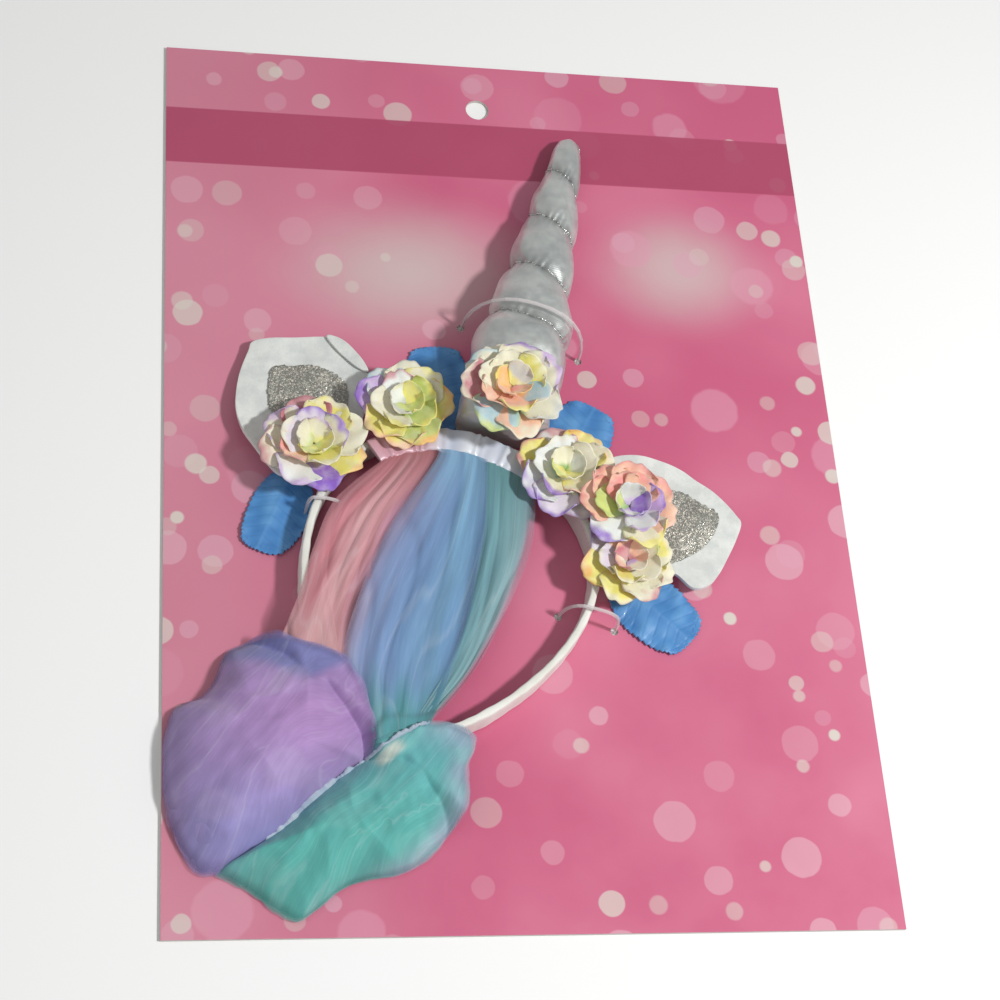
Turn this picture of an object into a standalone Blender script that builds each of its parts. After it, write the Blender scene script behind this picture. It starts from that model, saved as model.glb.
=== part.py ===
"""Unicorn horn headband on its display card: a fabric-covered head band that stands on its edge on the card,
with a padded spiral horn, two ears, leaves, fabric flowers and a tulle veil folded into two bundles.

Metres, +Z up out of the card. The origin is the centre of the card's underside, +Y its top edge, +X its right.
"""

import math

import bmesh
import bpy
import numpy as np

# General clearances
seat_gap = 0.0003
side_gap = 0.0010

# Display card
card_width = 0.297
card_height = 0.420
card_thickness = 0.0015
hang_hole_diameter = 0.011
hang_hole_from_top = 0.025
hang_hole_off_centre = -0.0034
tie_hole_diameter = 0.0034

# Head band: an oval, open at its lower left, that stands on its edge
band_half_width = 0.0587
band_half_length = 0.0704
band_taper = 0.25
band_lean = math.radians(24.9)
band_centre_x = -0.0364
band_centre_y = -0.0668
band_height = 0.014
band_thickness = 0.0038
band_left_end = math.radians(-140)
band_right_end = math.radians(169)

# Horn
horn_length = 0.173
horn_width = 0.0435
horn_depth = 0.036
horn_lean = math.radians(15.9)
horn_station = math.radians(-2)
horn_turns = 5.6
horn_first_turn = 0.665
horn_groove = 0.085
horn_root_slant = 0.35

# Ears
ear_length = 0.065
ear_half_width = 0.033
ear_thickness = 0.0020
ear_root_height = 0.0085
ear_tip_height = 0.0050
ear_cup = 0.0025
patch_thickness = 0.0010

# Leaves
leaf_length = 0.044
leaf_width = 0.030
leaf_thickness = 0.0010
leaf_arch = 0.0012
leaf_beyond_band = 0.0022
low_left_leaf_beyond = 0.0180
low_right_leaf_beyond = 0.0065

# Flowers
petal_thickness = 0.0010
flower_radius = 0.0210
flower_cup = 0.0062
flower_beyond_band = 0.0095
horn_flower_along = 0.0135
calyx_diameter = 0.009
calyx_height = 0.0075
calyx_beyond_band = 0.0036

# Veil
header_width = 0.012
header_thickness = 0.0022
header_inset = 0.0007
header_gather = 0.0004
tulle_thickness = 0.0012
veil_sag = 0.0030
veil_ripple = 0.0009
bundle_thickness = 0.0020
purple_bundle_width = 0.078
purple_bundle_length = 0.108
purple_bundle_height = 0.024
teal_bundle_width = 0.076
teal_bundle_length = 0.100
teal_bundle_height = 0.019
bundle_fold = 0.0016
drape_flat = 0.0045
drape_run = 0.012
selvage_width = 0.0026
selvage_thickness = 0.0012

# Clear ties
tie_diameter = 0.0016
tie_past_horn = 0.0055
tie_on_horn = 0.34
tie_inner_bend = 2.2

band_foot = card_thickness + seat_gap
band_top = band_foot + band_height
header_top = band_top + seat_gap + header_thickness
pi = math.pi

collection = bpy.data.collections.new("unicorn_horn_headband")


def clear_scene():
    for thing in list(bpy.data.objects):
        bpy.data.objects.remove(thing, do_unlink=True)
    bpy.context.scene.collection.children.link(collection)


def finish(name, colour, roughness, metallic=0.0):
    """A Principled material."""
    material = bpy.data.materials.new(name)
    material.use_nodes = True
    shader = material.node_tree.nodes["Principled BSDF"]
    shader.inputs["Base Color"].default_value = (*colour, 1.0)
    shader.inputs["Roughness"].default_value = roughness
    shader.inputs["Metallic"].default_value = metallic
    return material


def add(name, data, material):
    piece = bpy.data.objects.new(name, data)
    piece.data.materials.append(material)
    collection.objects.link(piece)
    return piece


def mix(a, b, share):
    return a + (b - a) * share


def spread(low, high, count):
    """count values from low to high."""
    return [mix(low, high, i / (count - 1)) for i in range(count)]


def smooth(rows, at):
    """A smooth value at a share from 0 to 1 through evenly spaced rows, as a Catmull-Rom curve."""
    last = len(rows) - 1
    place = min(max(at, 0.0), 1.0) * last
    i = min(int(place), last - 1)
    t = place - i
    a, b, c, d = (np.array(rows[min(max(j, 0), last)], float) for j in range(i - 1, i + 3))
    return 0.5 * (2 * b + (c - a) * t + (2 * a - 5 * b + 4 * c - d) * t**2 + (3 * b - a - 3 * c + d) * t**3)


def place(u, v):
    """The card position of a point in the head band's own frame: u across it, v towards its crown."""
    c, s = math.cos(band_lean), math.sin(band_lean)
    return np.array([band_centre_x + u * c + v * s, band_centre_y - u * s + v * c])


def band_at(angle, outward=0.0):
    """A point on the band's middle line, or that far outward from it. Angle 0 is the crown."""
    width = 1 + band_taper * math.cos(angle)
    u = band_half_width * width * math.sin(angle)
    v = band_half_length * math.cos(angle)
    along_u = band_half_width * (width * math.cos(angle) - band_taper * math.sin(angle) ** 2)
    along_v = -band_half_length * math.sin(angle)
    run = math.hypot(along_u, along_v)
    return place(u - along_v / run * outward, v + along_u / run * outward)


def outward_at(angle):
    """The direction on the card that points out of the band at an angle."""
    step = band_at(angle, band_thickness) - band_at(angle)
    return step / np.linalg.norm(step)


band_outside = band_thickness / 2 + seat_gap
band_line = np.array([band_at(a) for a in spread(band_left_end, band_right_end, 90)])


def cloth_floor(point):
    """How high the underside of a cloth lies: on the card, or lifted where it is draped over the band."""
    away = float(np.linalg.norm(band_line - point[:2], axis=1).min())
    past = min(max((away - band_thickness / 2 - drape_flat) / drape_run, 0.0), 1.0)
    ease = past * past * (3 - 2 * past)
    return mix(band_top, card_thickness, ease) + seat_gap


def sheet(name, rows, thickness, material):
    """A solid sheet from a grid of middle-surface points."""
    mesh = bpy.data.meshes.new(name)
    many, wide = len(rows), len(rows[0])
    points = [tuple(p) for row in rows for p in row]
    faces = [
        (r * wide + c, r * wide + c + 1, (r + 1) * wide + c + 1, (r + 1) * wide + c)
        for r in range(many - 1)
        for c in range(wide - 1)
    ]
    mesh.from_pydata(points, [], faces)
    return thicken(add(name, mesh, material), thickness)


def disc(name, centre, rings, thickness, material):
    """A solid sheet from rings of middle-surface points round a centre point."""
    mesh = bpy.data.meshes.new(name)
    wide = len(rings[0])
    points = [tuple(centre)] + [tuple(p) for ring in rings for p in ring]
    faces = [(0, 1 + c, 1 + (c + 1) % wide) for c in range(wide)]
    for r in range(len(rings) - 1):
        a, b = 1 + r * wide, 1 + (r + 1) * wide
        faces += [(a + c, b + c, b + (c + 1) % wide, a + (c + 1) % wide) for c in range(wide)]
    mesh.from_pydata(points, [], faces)
    return thicken(add(name, mesh, material), thickness)


def thicken(piece, thickness):
    shell = piece.modifiers.new("wall", "SOLIDIFY")
    shell.thickness = thickness
    shell.offset = 0.0
    piece.data.shade_smooth()
    return piece


def loft(name, rings, material):
    """A closed solid through rings of points, with flat ends."""
    mesh = bpy.data.meshes.new(name)
    wide = len(rings[0])
    points = [tuple(p) for ring in rings for p in ring]
    faces = [tuple(range(wide))[::-1], tuple(range((len(rings) - 1) * wide, len(rings) * wide))]
    for r in range(len(rings) - 1):
        a, b = r * wide, (r + 1) * wide
        faces += [(a + c, a + (c + 1) % wide, b + (c + 1) % wide, b + c) for c in range(wide)]
    mesh.from_pydata(points, [], faces)
    build = bmesh.new()
    build.from_mesh(mesh)
    bmesh.ops.recalc_face_normals(build, faces=build.faces)
    build.to_mesh(mesh)
    build.free()
    mesh.shade_smooth()
    mesh.set_sharp_from_angle(angle=math.radians(50))
    return add(name, mesh, material)


def outline_curve(name, outlines, low, high, material):
    """A flat plate from closed outlines, the first outside and the others holes."""
    curve = bpy.data.curves.new(name, "CURVE")
    curve.dimensions = "2D"
    curve.fill_mode = "BOTH"
    curve.extrude = (high - low) / 2
    for outline in outlines:
        spline = curve.splines.new("POLY")
        spline.points.add(len(outline) - 1)
        for point, (x, y) in zip(spline.points, outline):
            point.co = (x, y, 0.0, 1.0)
        spline.use_cyclic_u = True
    plate = add(name, curve, material)
    plate.location.z = (low + high) / 2
    return plate


def circle(x, y, diameter, sides):
    turns = [2 * pi * i / sides for i in range(sides)]
    return [(x + diameter / 2 * math.cos(a), y + diameter / 2 * math.sin(a)) for a in turns]


# The directions on the card along the horn, and to its right
horn_ahead = np.array([math.sin(horn_lean), math.cos(horn_lean)])
horn_side = np.array([math.cos(horn_lean), -math.sin(horn_lean)])


def horn_point(along, across=0.0):
    """A card position on the horn's axis, or that far to its right."""
    return band_at(horn_station, band_outside) + horn_ahead * along + horn_side * across


def tie_rows():
    """Each tie as its crossing, its direction, its reach to either hole, its height and its squareness."""
    rows = []
    horn_reach = horn_width / 2 + tie_past_horn
    over_horn = horn_crest(tie_on_horn - 0.03, tie_on_horn + 0.03) + tie_diameter
    rows.append((horn_point(tie_on_horn * horn_length), horn_side, horn_reach, horn_reach, over_horn, 2.4))
    over_band = band_top + tie_diameter * 1.5
    by_band = band_thickness / 2 + tie_diameter + side_gap / 2
    for angle, skew, inside, outside in ((77, 10, 0.0102, 0.0144), (-80, 20, 0.0145, by_band)):
        out = outward_at(math.radians(angle))
        turn = math.radians(skew)
        way = np.array([
            out[0] * math.cos(turn) - out[1] * math.sin(turn),
            out[0] * math.sin(turn) + out[1] * math.cos(turn),
        ])
        rows.append((band_at(math.radians(angle)), way, inside, outside, over_band, 4.0))
    return rows


def make_card(material):
    half_w, half_h = card_width / 2, card_height / 2
    edge = [(-half_w, -half_h), (half_w, -half_h), (half_w, half_h), (-half_w, half_h)]
    holes = [circle(hang_hole_off_centre, half_h - hang_hole_from_top, hang_hole_diameter, 24)]
    for crossing, way, inside, outside, _, _ in tie_rows():
        for end in (crossing - way * inside, crossing + way * outside):
            holes.append(circle(end[0], end[1], tie_hole_diameter, 12))
    outline_curve("display_card", [edge, *holes], 0.0, card_thickness, material)


def make_band(material):
    """The band's outline on the card, with round ends, as thick as the band and as high as it is wide."""
    half = band_thickness / 2
    angles = spread(band_left_end, band_right_end, 56)
    outer = [band_at(a, half) for a in angles]
    inner = [band_at(a, -half) for a in reversed(angles)]
    caps = []
    for angle, side in ((band_right_end, 1), (band_left_end, -1)):
        middle, out = band_at(angle), outward_at(angle) * side
        ahead = np.array([out[1], -out[0]])
        turns = [pi * i / 5 for i in range(1, 5)]
        caps.append([middle + half * (out * math.cos(t) + ahead * math.sin(t)) for t in turns])
    outline_curve("headband", [outer + caps[0] + inner + caps[1]], band_foot, band_top, material)


def make_ties(material):
    for number, (crossing, way, inside, outside, height, square) in enumerate(tie_rows(), 1):
        curve = bpy.data.curves.new("tie_line", "CURVE")
        curve.dimensions = "3D"
        curve.bevel_depth = tie_diameter / 2
        curve.bevel_resolution = 1
        curve.use_fill_caps = True
        spline = curve.splines.new("POLY")
        angles = spread(pi, 0.0, 15)
        spline.points.add(len(angles) - 1)
        for point, angle in zip(spline.points, angles):
            bend = tie_inner_bend if angle > pi / 2 else square
            swing = math.copysign(abs(math.cos(angle)) ** (2 / bend), math.cos(angle))
            x, y = crossing + way * swing * (inside if swing < 0 else outside)
            rise = abs(math.sin(angle)) ** (2 / bend)
            point.co = (x, y, mix(seat_gap, height, rise), 1.0)
        add(f"clear_tie_{number}", curve, material)


def horn_seat():
    """How far along the horn's axis its flat root lies, just clear of the band's outer face."""
    spots = [band_at(a, band_outside) - horn_point(0.0) for a in spread(math.radians(-60), math.radians(60), 121)]
    under = [s for s in spots if abs(float(np.dot(s, horn_side))) < horn_width / 2]
    return max(float(np.dot(s, horn_ahead)) for s in under)


# Horn profile: share of its length, share of its full width and depth
horn_profile = (
    (0.00, 0.90),
    (0.13, 0.98),
    (0.27, 1.00),
    (0.41, 0.81),
    (0.60, 0.65),
    (0.75, 0.51),
    (0.94, 0.33),
    (0.985, 0.24),
    (1.00, 0.10),
)


def horn_size(share):
    places, sizes = zip(*horn_profile)
    return float(np.interp(share, places, sizes))


def horn_middle(share):
    """The height of the horn's axis: its full side lies just above the card all the way."""
    return band_foot + horn_depth / 2 * max(horn_size(share), horn_profile[-2][1])


def horn_radius(share, turn):
    """The share of the horn's half width that it reaches at a turn round it, with the spiral seam's grooves."""
    wind = horn_first_turn + horn_turns * share - turn / (2 * pi)
    bulge = abs(math.sin(pi * wind)) ** 0.6
    return (1 - horn_groove * (1 - bulge) * min(share * 12, 1.0)) * horn_size(share)


def horn_crest(first, last):
    """The highest that the horn reaches between two shares of its length."""
    return max(horn_middle(s) + horn_depth / 2 * horn_radius(s, pi / 2) for s in spread(first, last, 9))


def make_horn(material):
    """A padded cone wound with a spiral seam; each turn bulges between two passes of the seam."""
    stations, sides = 31, 20
    seat = horn_seat()
    rings = []
    for share in spread(0.0, 1.0, stations):
        ring = []
        for i in range(sides):
            turn = 2 * pi * i / sides
            radius = horn_radius(share, turn)
            across = horn_width / 2 * radius * math.cos(turn)
            root = seat + max(across, 0.0) * horn_root_slant
            along = root + (horn_length - root) * share
            x, y = horn_point(along, across)
            ring.append((x, y, horn_middle(share) + horn_depth / 2 * radius * math.sin(turn)))
        rings.append(ring)
    loft("horn", rings, material)


# Ear outline in shares of its length and half width: along it, its upper edge, its lower edge
left_ear_outline = (
    (0.16, 0.70, -0.84),
    (0.32, 0.93, -0.92),
    (0.50, 1.00, -0.86),
    (0.68, 0.97, -0.70),
    (0.85, 0.42, -0.32),
    (1.00, 0.03, -0.03),
)
right_ear_outline = (
    (0.16, 0.98, -0.62),
    (0.36, 1.12, -0.80),
    (0.54, 1.04, -0.88),
    (0.74, 0.82, -0.78),
    (0.92, 0.40, -0.36),
    (1.00, 0.03, -0.03),
)


def ear_surface(first, last, heading, side, outline):
    """The ear as a function of shares along it and across it, rooted on the band between two angles."""
    root = band_at((first + last) / 2, band_outside)
    ahead = np.array([math.sin(heading), math.cos(heading)])
    upper = np.array([ahead[1], -ahead[0]]) * side

    def at(along, across, lift=0.0):
        foot = band_at(mix(first, last, across), band_outside)
        if along < outline[0][0]:
            share = along / outline[0][0]
            row = outline[0]
        else:
            steps = [row[0] for row in outline]
            row = [float(np.interp(along, steps, [r[k] for r in outline])) for k in range(3)]
            share = 1.0
        reach = root + ahead * row[0] * ear_length
        edge = mix(row[2], row[1], across) * ear_half_width
        spot = mix(foot, reach + upper * edge, share)
        cup = ear_cup * (2 * across - 1) ** 2 * min(along * 3, 1.0) * (1 - along)
        height = mix(ear_root_height, ear_tip_height, along) + cup + lift
        return (*spot, card_thickness + height)

    return at


def make_ear(name, surface, felt, glitter):
    rows = [[surface(s, w) for w in spread(0.0, 1.0, 7)] for s in spread(0.0, 1.0, 9)]
    sheet(name, rows, ear_thickness, felt)
    lift = ear_thickness / 2 + seat_gap + patch_thickness / 2
    rows = [
        [surface(s, mix(0.5 - spare, 0.5 + spare, w), lift) for w in spread(0.0, 1.0, 6)]
        for s, spare in ((0.18, 0.27), (0.34, 0.31), (0.50, 0.32), (0.66, 0.28), (0.76, 0.20))
    ]
    sheet(name + "_glitter", rows, patch_thickness, glitter)


def make_leaf(name, foot, heading, blunt, right_share, material):
    """A serrated leaf that lies on the card, its stalk end at a point by the band."""
    ahead = np.array([math.sin(heading), math.cos(heading)])
    side = np.array([ahead[1], -ahead[0]])
    rows = []
    teeth = 14
    for i, share in enumerate(spread(0.0, 1.0, teeth)):
        fullness = math.sin(pi * min(share * blunt + 0.03, 0.97)) ** 0.8
        half = leaf_width / 2 * fullness * (1.0 if i % 2 else 0.93)
        row = []
        for across in (-1.0, 0.0, 1.0):
            x, y = foot + ahead * leaf_length * share + side * half * across * (right_share if across > 0 else 1)
            rise = leaf_arch * (1 - abs(across)) * math.sin(pi * share)
            row.append((x, y, card_thickness + seat_gap + leaf_thickness / 2 + rise))
        rows.append(row)
    sheet(name, rows, leaf_thickness, material)


# Whorls of a flower: name, share of its radius, flat share of it, petals, cup, turn in degrees
whorls = (
    ("petals", 1.00, 0.45, 5, 1.00, 0),
    ("middle", 0.68, 0.30, 5, 0.85, 36),
    ("heart", 0.36, 0.30, 4, 0.50, 10),
)


def make_flower(name, centre, height, radius, cup_height, turn, materials):
    """Three whorls of petals, cupped one in another."""
    step = petal_thickness * 1.6 + seat_gap
    x, y = centre
    for level, (part, share, flat, petals, cup, shift) in enumerate(whorls):
        spokes = petals * 4
        lift = height + petal_thickness / 2 + level * step
        rings = []
        for out in (flat, mix(flat, 1.0, 0.5), 1.0):
            ring = []
            bend = ((out - flat) / (1 - flat)) ** 1.5
            for i in range(spokes):
                angle = 2 * pi * i / spokes
                lobe = abs(math.cos(petals * angle / 2)) ** 0.5
                r = radius * share * out * mix(0.70 + 0.30 * (1 - out), 1.0, lobe)
                wave = 1 + 0.16 * math.sin(petals * angle + level) * out
                angle += turn + math.radians(shift)
                rise = cup_height * cup * bend * wave
                ring.append((x + r * math.cos(angle), y + r * math.sin(angle), lift + rise))
            rings.append(ring)
        disc(f"{name}_{part}", (x, y, lift), rings, petal_thickness, materials[level])


def make_calyx(name, centre, foot, material):
    """The base of a flower that stands higher than the rest."""
    rings = []
    for share, size in ((0.0, 0.85), (0.3, 0.75), (0.8, 1.0), (1.0, 0.9)):
        rings.append([(x, y, foot + calyx_height * share) for x, y in circle(*centre, calyx_diameter * size, 14)])
    loft(name, rings, material)


def make_header(first, last, material):
    """The gathered head of the veil, lying on the band's top edge and reaching inside the band."""
    middle = band_top + seat_gap + header_thickness / 2
    rings = []
    for i, angle in enumerate(spread(first, last, 17)):
        puff = header_gather * (i % 2)
        ring = []
        for turn in spread(0.0, 2 * pi * 9 / 10, 10):
            across, up = math.cos(turn), math.sin(turn)
            away = band_thickness / 2 - header_inset - header_width * (0.5 - across / 2) + puff * across
            x, y = band_at(angle, away)
            thick = header_thickness + (puff if up > 0 else 0.0)
            ring.append((x, y, middle + thick / 2 * math.copysign(abs(up) ** 0.6, up)))
        rings.append(ring)
    loft("veil_header", rings, material)


# Veil panel edges in shares of the band's half width and half length, from the header to the bundles
pink_left_edge = ((-0.74, 0.50), (-0.82, 0.20), (-0.84, -0.16), (-0.76, -0.46), (-0.72, -0.60))
pink_right_edge = ((-0.37, 0.76), (-0.47, 0.31), (-0.50, -0.08), (-0.44, -0.40), (-0.40, -0.545))
blue_right_edge = ((-0.11, 0.82), (0.08, 0.41), (0.17, 0.08), (0.13, -0.30), (-0.14, -0.62))
teal_left_edge = ((0.02, 0.82), (0.13, 0.41), (0.20, 0.08), (0.17, -0.30), (-0.08, -0.63), (0.02, -1.00))
teal_right_edge = ((0.30, 0.78), (0.46, 0.52), (0.51, 0.20), (0.49, -0.22), (0.38, -0.52), (0.22, -0.72))


def make_panel(name, left, right, first, last, material, folds):
    """A tulle panel from the header's inner edge to the bundles, rippled across and sagging between them."""
    rows = []
    below = header_width + header_inset - band_thickness / 2 + side_gap
    for share in spread(0.0, 1.0, 14):
        start = smooth(left, share)
        end = smooth(right, share)
        row = []
        for across in spread(0.0, 1.0, 9):
            u, v = mix(start, end, across) * (band_half_width, band_half_length)
            spot = place(u, v)
            settle = max(1 - share * 5, 0.0) ** 2
            spot = mix(spot, band_at(mix(first, last, across), -below), settle)
            ripple = veil_ripple * math.sin(2 * pi * folds * across) * min(share * 4, 1.0)
            level = band_top + seat_gap + tulle_thickness / 2
            level += veil_ripple * 1.3 - veil_sag * math.sin(pi * share) ** 2 + ripple
            row.append((*spot, max(level, cloth_floor(spot) + tulle_thickness)))
        rows.append(row)
    sheet(name, rows, tulle_thickness, material)


# Bundle outlines round their middles, in shares of half their width and half their length
purple_outline = (
    (0.85, 0.50), (0.64, 0.80), (0.34, 0.95), (-0.10, 0.93), (-0.46, 0.80), (-0.78, 0.62),
    (-0.68, 0.36), (-0.93, 0.06), (-0.91, -0.12), (-0.75, -0.46), (-0.58, -0.70), (-0.06, -1.00),
    (0.06, -0.96), (0.50, -0.54), (0.71, -0.10), (0.93, 0.26),
)
teal_outline = (
    (0.56, 0.44), (0.55, 0.82), (0.35, 0.92), (0.02, 0.82), (-0.22, 0.40), (-0.38, 0.06),
    (-0.52, -0.38), (-0.88, -0.90), (-0.52, -1.00), (-0.34, -0.98), (-0.12, -0.72), (0.12, -0.54),
    (0.40, -0.42), (0.66, -0.08), (0.76, 0.24),
)
purple_middle = (-0.61, -1.38)
teal_middle = (0.29, -1.40)


def make_bundle(name, middle, outline, width, length, height, folds, material):
    """The folded end of the veil as a hollow, domed, creased sheet that lies on the card and over the band."""
    centre = np.array(middle) * (band_half_width, band_half_length)
    spokes = 32
    closed = outline + outline[:3]
    rim = []
    for i in range(spokes):
        at = (1 + i / spokes * len(outline)) / (len(closed) - 1)
        rim.append(smooth(closed, at) * (width / 2, length / 2))
    rings = []
    for out in (0.22, 0.45, 0.66, 0.84, 0.96, 1.0):
        ring = []
        for i, edge in enumerate(rim):
            spot = place(*(centre + edge * out))
            dome = height * (1 - out**2.6) ** 0.75
            crease = bundle_fold * math.sin(folds * 2 * pi * i / spokes) * out * (1 - out) * 4
            level = max(card_thickness + seat_gap + dome + crease, cloth_floor(spot) + seat_gap)
            ring.append((*spot, level + bundle_thickness / 2 + seat_gap))
        rings.append(ring)
    top = (*place(*centre), card_thickness + seat_gap + height + bundle_thickness / 2)
    disc(name, top, rings, bundle_thickness, material)


# The pale selvage edge where the two bundles meet, in shares of the band's half width and half length
selvage_line = ((0.22, -0.84), (0.10, -1.02), (0.07, -1.18), (-0.06, -1.46), (-0.17, -1.78), (-0.43, -2.07))


def make_selvage(material):
    rows = []
    for share in spread(0.0, 1.0, 16):
        here, ahead = (smooth(selvage_line, s) * (band_half_width, band_half_length) for s in (share, share + 0.02))
        if share > 0.98:
            here, ahead = smooth(selvage_line, 0.98) * (band_half_width, band_half_length), here
        way = (ahead - here) / np.linalg.norm(ahead - here)
        base = smooth(selvage_line, share) * (band_half_width, band_half_length)
        row = []
        for across in (-0.5, 0.0, 0.5):
            spot = place(*(base + np.array([way[1], -way[0]]) * selvage_width * across))
            row.append((*spot, cloth_floor(place(*base)) + selvage_thickness))
        rows.append(row)
    sheet("veil_selvage", rows, selvage_thickness, material)


def build():
    clear_scene()
    card = finish("printed_card", (0.60, 0.16, 0.29), 0.45)
    white = finish("white_fabric", (0.80, 0.81, 0.78), 0.85)
    silver = finish("silver_fabric", (0.42, 0.45, 0.45), 0.35, 0.6)
    glitter = finish("silver_glitter", (0.45, 0.45, 0.43), 0.40, 0.7)
    blue = finish("blue_leaf", (0.05, 0.23, 0.58), 0.55)
    cream = finish("cream_petal", (0.85, 0.80, 0.55), 0.70)
    lilac = finish("lilac_petal", (0.62, 0.45, 0.72), 0.70)
    coral = finish("coral_petal", (0.88, 0.42, 0.36), 0.70)
    lime = finish("lime_petal", (0.70, 0.72, 0.22), 0.70)
    header = finish("header_satin", (0.55, 0.53, 0.62), 0.50)
    pink_tulle = finish("pink_tulle", (0.62, 0.26, 0.30), 0.80)
    blue_tulle = finish("blue_tulle", (0.15, 0.33, 0.55), 0.80)
    teal_tulle = finish("teal_tulle", (0.10, 0.38, 0.36), 0.80)
    purple_tulle = finish("purple_tulle", (0.34, 0.22, 0.54), 0.80)
    pale = finish("pale_selvage", (0.72, 0.76, 0.74), 0.70)
    clear = finish("clear_plastic", (0.80, 0.80, 0.80), 0.20)

    make_card(card)
    make_band(white)
    make_ties(clear)
    make_horn(silver)

    degrees = math.radians
    left_ear = ear_surface(degrees(-72), degrees(-42), degrees(-32.7), 1, left_ear_outline)
    make_ear("ear_left", left_ear, white, glitter)
    right_ear = ear_surface(degrees(60), degrees(28), degrees(83), -1, right_ear_outline)
    make_ear("ear_right", right_ear, white, glitter)

    # Each leaf: name, angle round the band, distance from its face, heading, bluntness, right half's share
    leaves = (
        ("leaf_low_left", -69, low_left_leaf_beyond, -155, 0.80, 0.55),
        ("leaf_top_left", -19, leaf_beyond_band, -2, 0.72, 1.0),
        ("leaf_top_right", 20, leaf_beyond_band, 29, 0.72, 1.0),
        ("leaf_low_right", 57, low_right_leaf_beyond, 133, 0.78, 1.0),
    )
    for name, angle, beyond, heading, blunt, right_share in leaves:
        foot = band_at(degrees(angle), band_thickness / 2 + beyond)
        make_leaf(name, foot, degrees(heading), blunt, right_share, blue)

    header_from, header_to = degrees(-50), degrees(22)
    make_header(header_from, header_to, header)
    make_panel("veil_pink", pink_left_edge, pink_right_edge, degrees(-48), degrees(-23), pink_tulle, 3)
    make_panel("veil_blue", pink_right_edge_inset(), blue_right_edge, degrees(-21), degrees(-4), blue_tulle, 2)
    make_panel("veil_teal", teal_left_edge, teal_right_edge, degrees(-2), degrees(18), teal_tulle, 2)
    make_bundle(
        "veil_bundle_purple", purple_middle, purple_outline,
        purple_bundle_width, purple_bundle_length, purple_bundle_height, 7, purple_tulle,
    )
    make_bundle(
        "veil_bundle_teal", teal_middle, teal_outline,
        teal_bundle_width, teal_bundle_length, teal_bundle_height, 6, teal_tulle,
    )
    make_selvage(pale)

    on_band = band_top + seat_gap
    on_header = header_top + seat_gap
    on_calyx = on_band + calyx_height + seat_gap
    on_horn = horn_crest(0.0, 0.16) + seat_gap
    # Each flower: name, angle round the band, share of the usual distance from it, height, size, cup, turn,
    # finishes from the outside in
    flowers = (
        ("flower_far_left", -65, 1.25, on_band, 1.00, 1.0, 8, (cream, lime, lilac)),
        ("flower_left", -33, 1.05, on_header, 1.00, 1.0, 40, (lime, cream, lime)),
        ("flower_right", 21, 0.55, on_header, 1.02, 0.8, 3, (cream, lime, cream)),
        ("flower_coral", 44, 1.35, on_calyx, 0.93, 1.0, 20, (coral, lilac, lime)),
        ("flower_low_right", 59, 1.10, on_band, 0.84, 0.6, 6, (cream, lime, cream)),
    )
    for name, angle, out, height, size, cup, turn, finishes in flowers:
        centre = band_at(degrees(angle), flower_beyond_band * out)
        make_flower(name, centre, height, flower_radius * size, flower_cup * cup, degrees(turn), finishes)
    horn_flower = horn_point(horn_flower_along)
    make_flower("flower_horn", horn_flower, on_horn, flower_radius * 1.12, flower_cup, degrees(18), (cream, coral, lilac))
    make_calyx("flower_coral_calyx", band_at(degrees(44), calyx_beyond_band), on_band, lime)


def pink_right_edge_inset():
    """The blue panel's left edge, just beside the pink one's right edge."""
    return tuple((u + 0.03, v) for u, v in pink_right_edge)


build()
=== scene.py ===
"""The looks of a unicorn horn headband on its display card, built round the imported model.

Metres, +Z up out of the card, +Y towards its top edge. The origin is the centre of the card's underside.
"""

import math

import bmesh
import bpy
import numpy as np
from mathutils import Matrix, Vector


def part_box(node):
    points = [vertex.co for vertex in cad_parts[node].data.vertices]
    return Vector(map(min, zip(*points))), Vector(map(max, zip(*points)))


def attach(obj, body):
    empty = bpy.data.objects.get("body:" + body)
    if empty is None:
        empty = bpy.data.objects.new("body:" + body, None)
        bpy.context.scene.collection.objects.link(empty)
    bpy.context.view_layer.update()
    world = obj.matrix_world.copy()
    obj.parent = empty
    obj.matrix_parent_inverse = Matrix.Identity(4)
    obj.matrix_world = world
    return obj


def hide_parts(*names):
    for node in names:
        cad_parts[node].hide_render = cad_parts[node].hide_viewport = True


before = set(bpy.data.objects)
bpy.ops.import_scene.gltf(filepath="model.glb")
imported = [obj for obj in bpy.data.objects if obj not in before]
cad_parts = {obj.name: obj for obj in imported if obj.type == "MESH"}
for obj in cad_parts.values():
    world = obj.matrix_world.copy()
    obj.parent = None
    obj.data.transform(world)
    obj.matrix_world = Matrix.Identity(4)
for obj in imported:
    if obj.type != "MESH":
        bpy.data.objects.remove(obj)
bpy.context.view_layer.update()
pi = math.pi
radians = math.radians

# The photograph's camera
camera_place = (-0.18068, -0.42015, 0.78899)
camera_ahead = (0.19411, 0.44350, -0.87500)
camera_up = (-0.02536, 0.89394, 0.44747)
camera_lens_mm = 75.63
camera_sensor_mm = 36.0

# The head band's oval, as in the model's source
band_half_width = 0.0587
band_half_length = 0.0704
band_taper = 0.25
band_lean = radians(24.9)
band_centre = (-0.0364, -0.0668)
band_left_end = radians(-140)
band_right_end = radians(169)
band_thickness = 0.0038

# The horn and the ears, as in the model's source
horn_length = 0.173
horn_width = 0.0435
horn_depth = 0.036
horn_lean = radians(15.9)
horn_station = radians(-2)
horn_turns = 5.6
horn_first_turn = 0.665
horn_root_slant = 0.35

seat_gap = 0.0003
card_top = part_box("display_card")[1].z
band_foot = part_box("headband")[0].z
band_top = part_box("headband")[1].z


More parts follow.
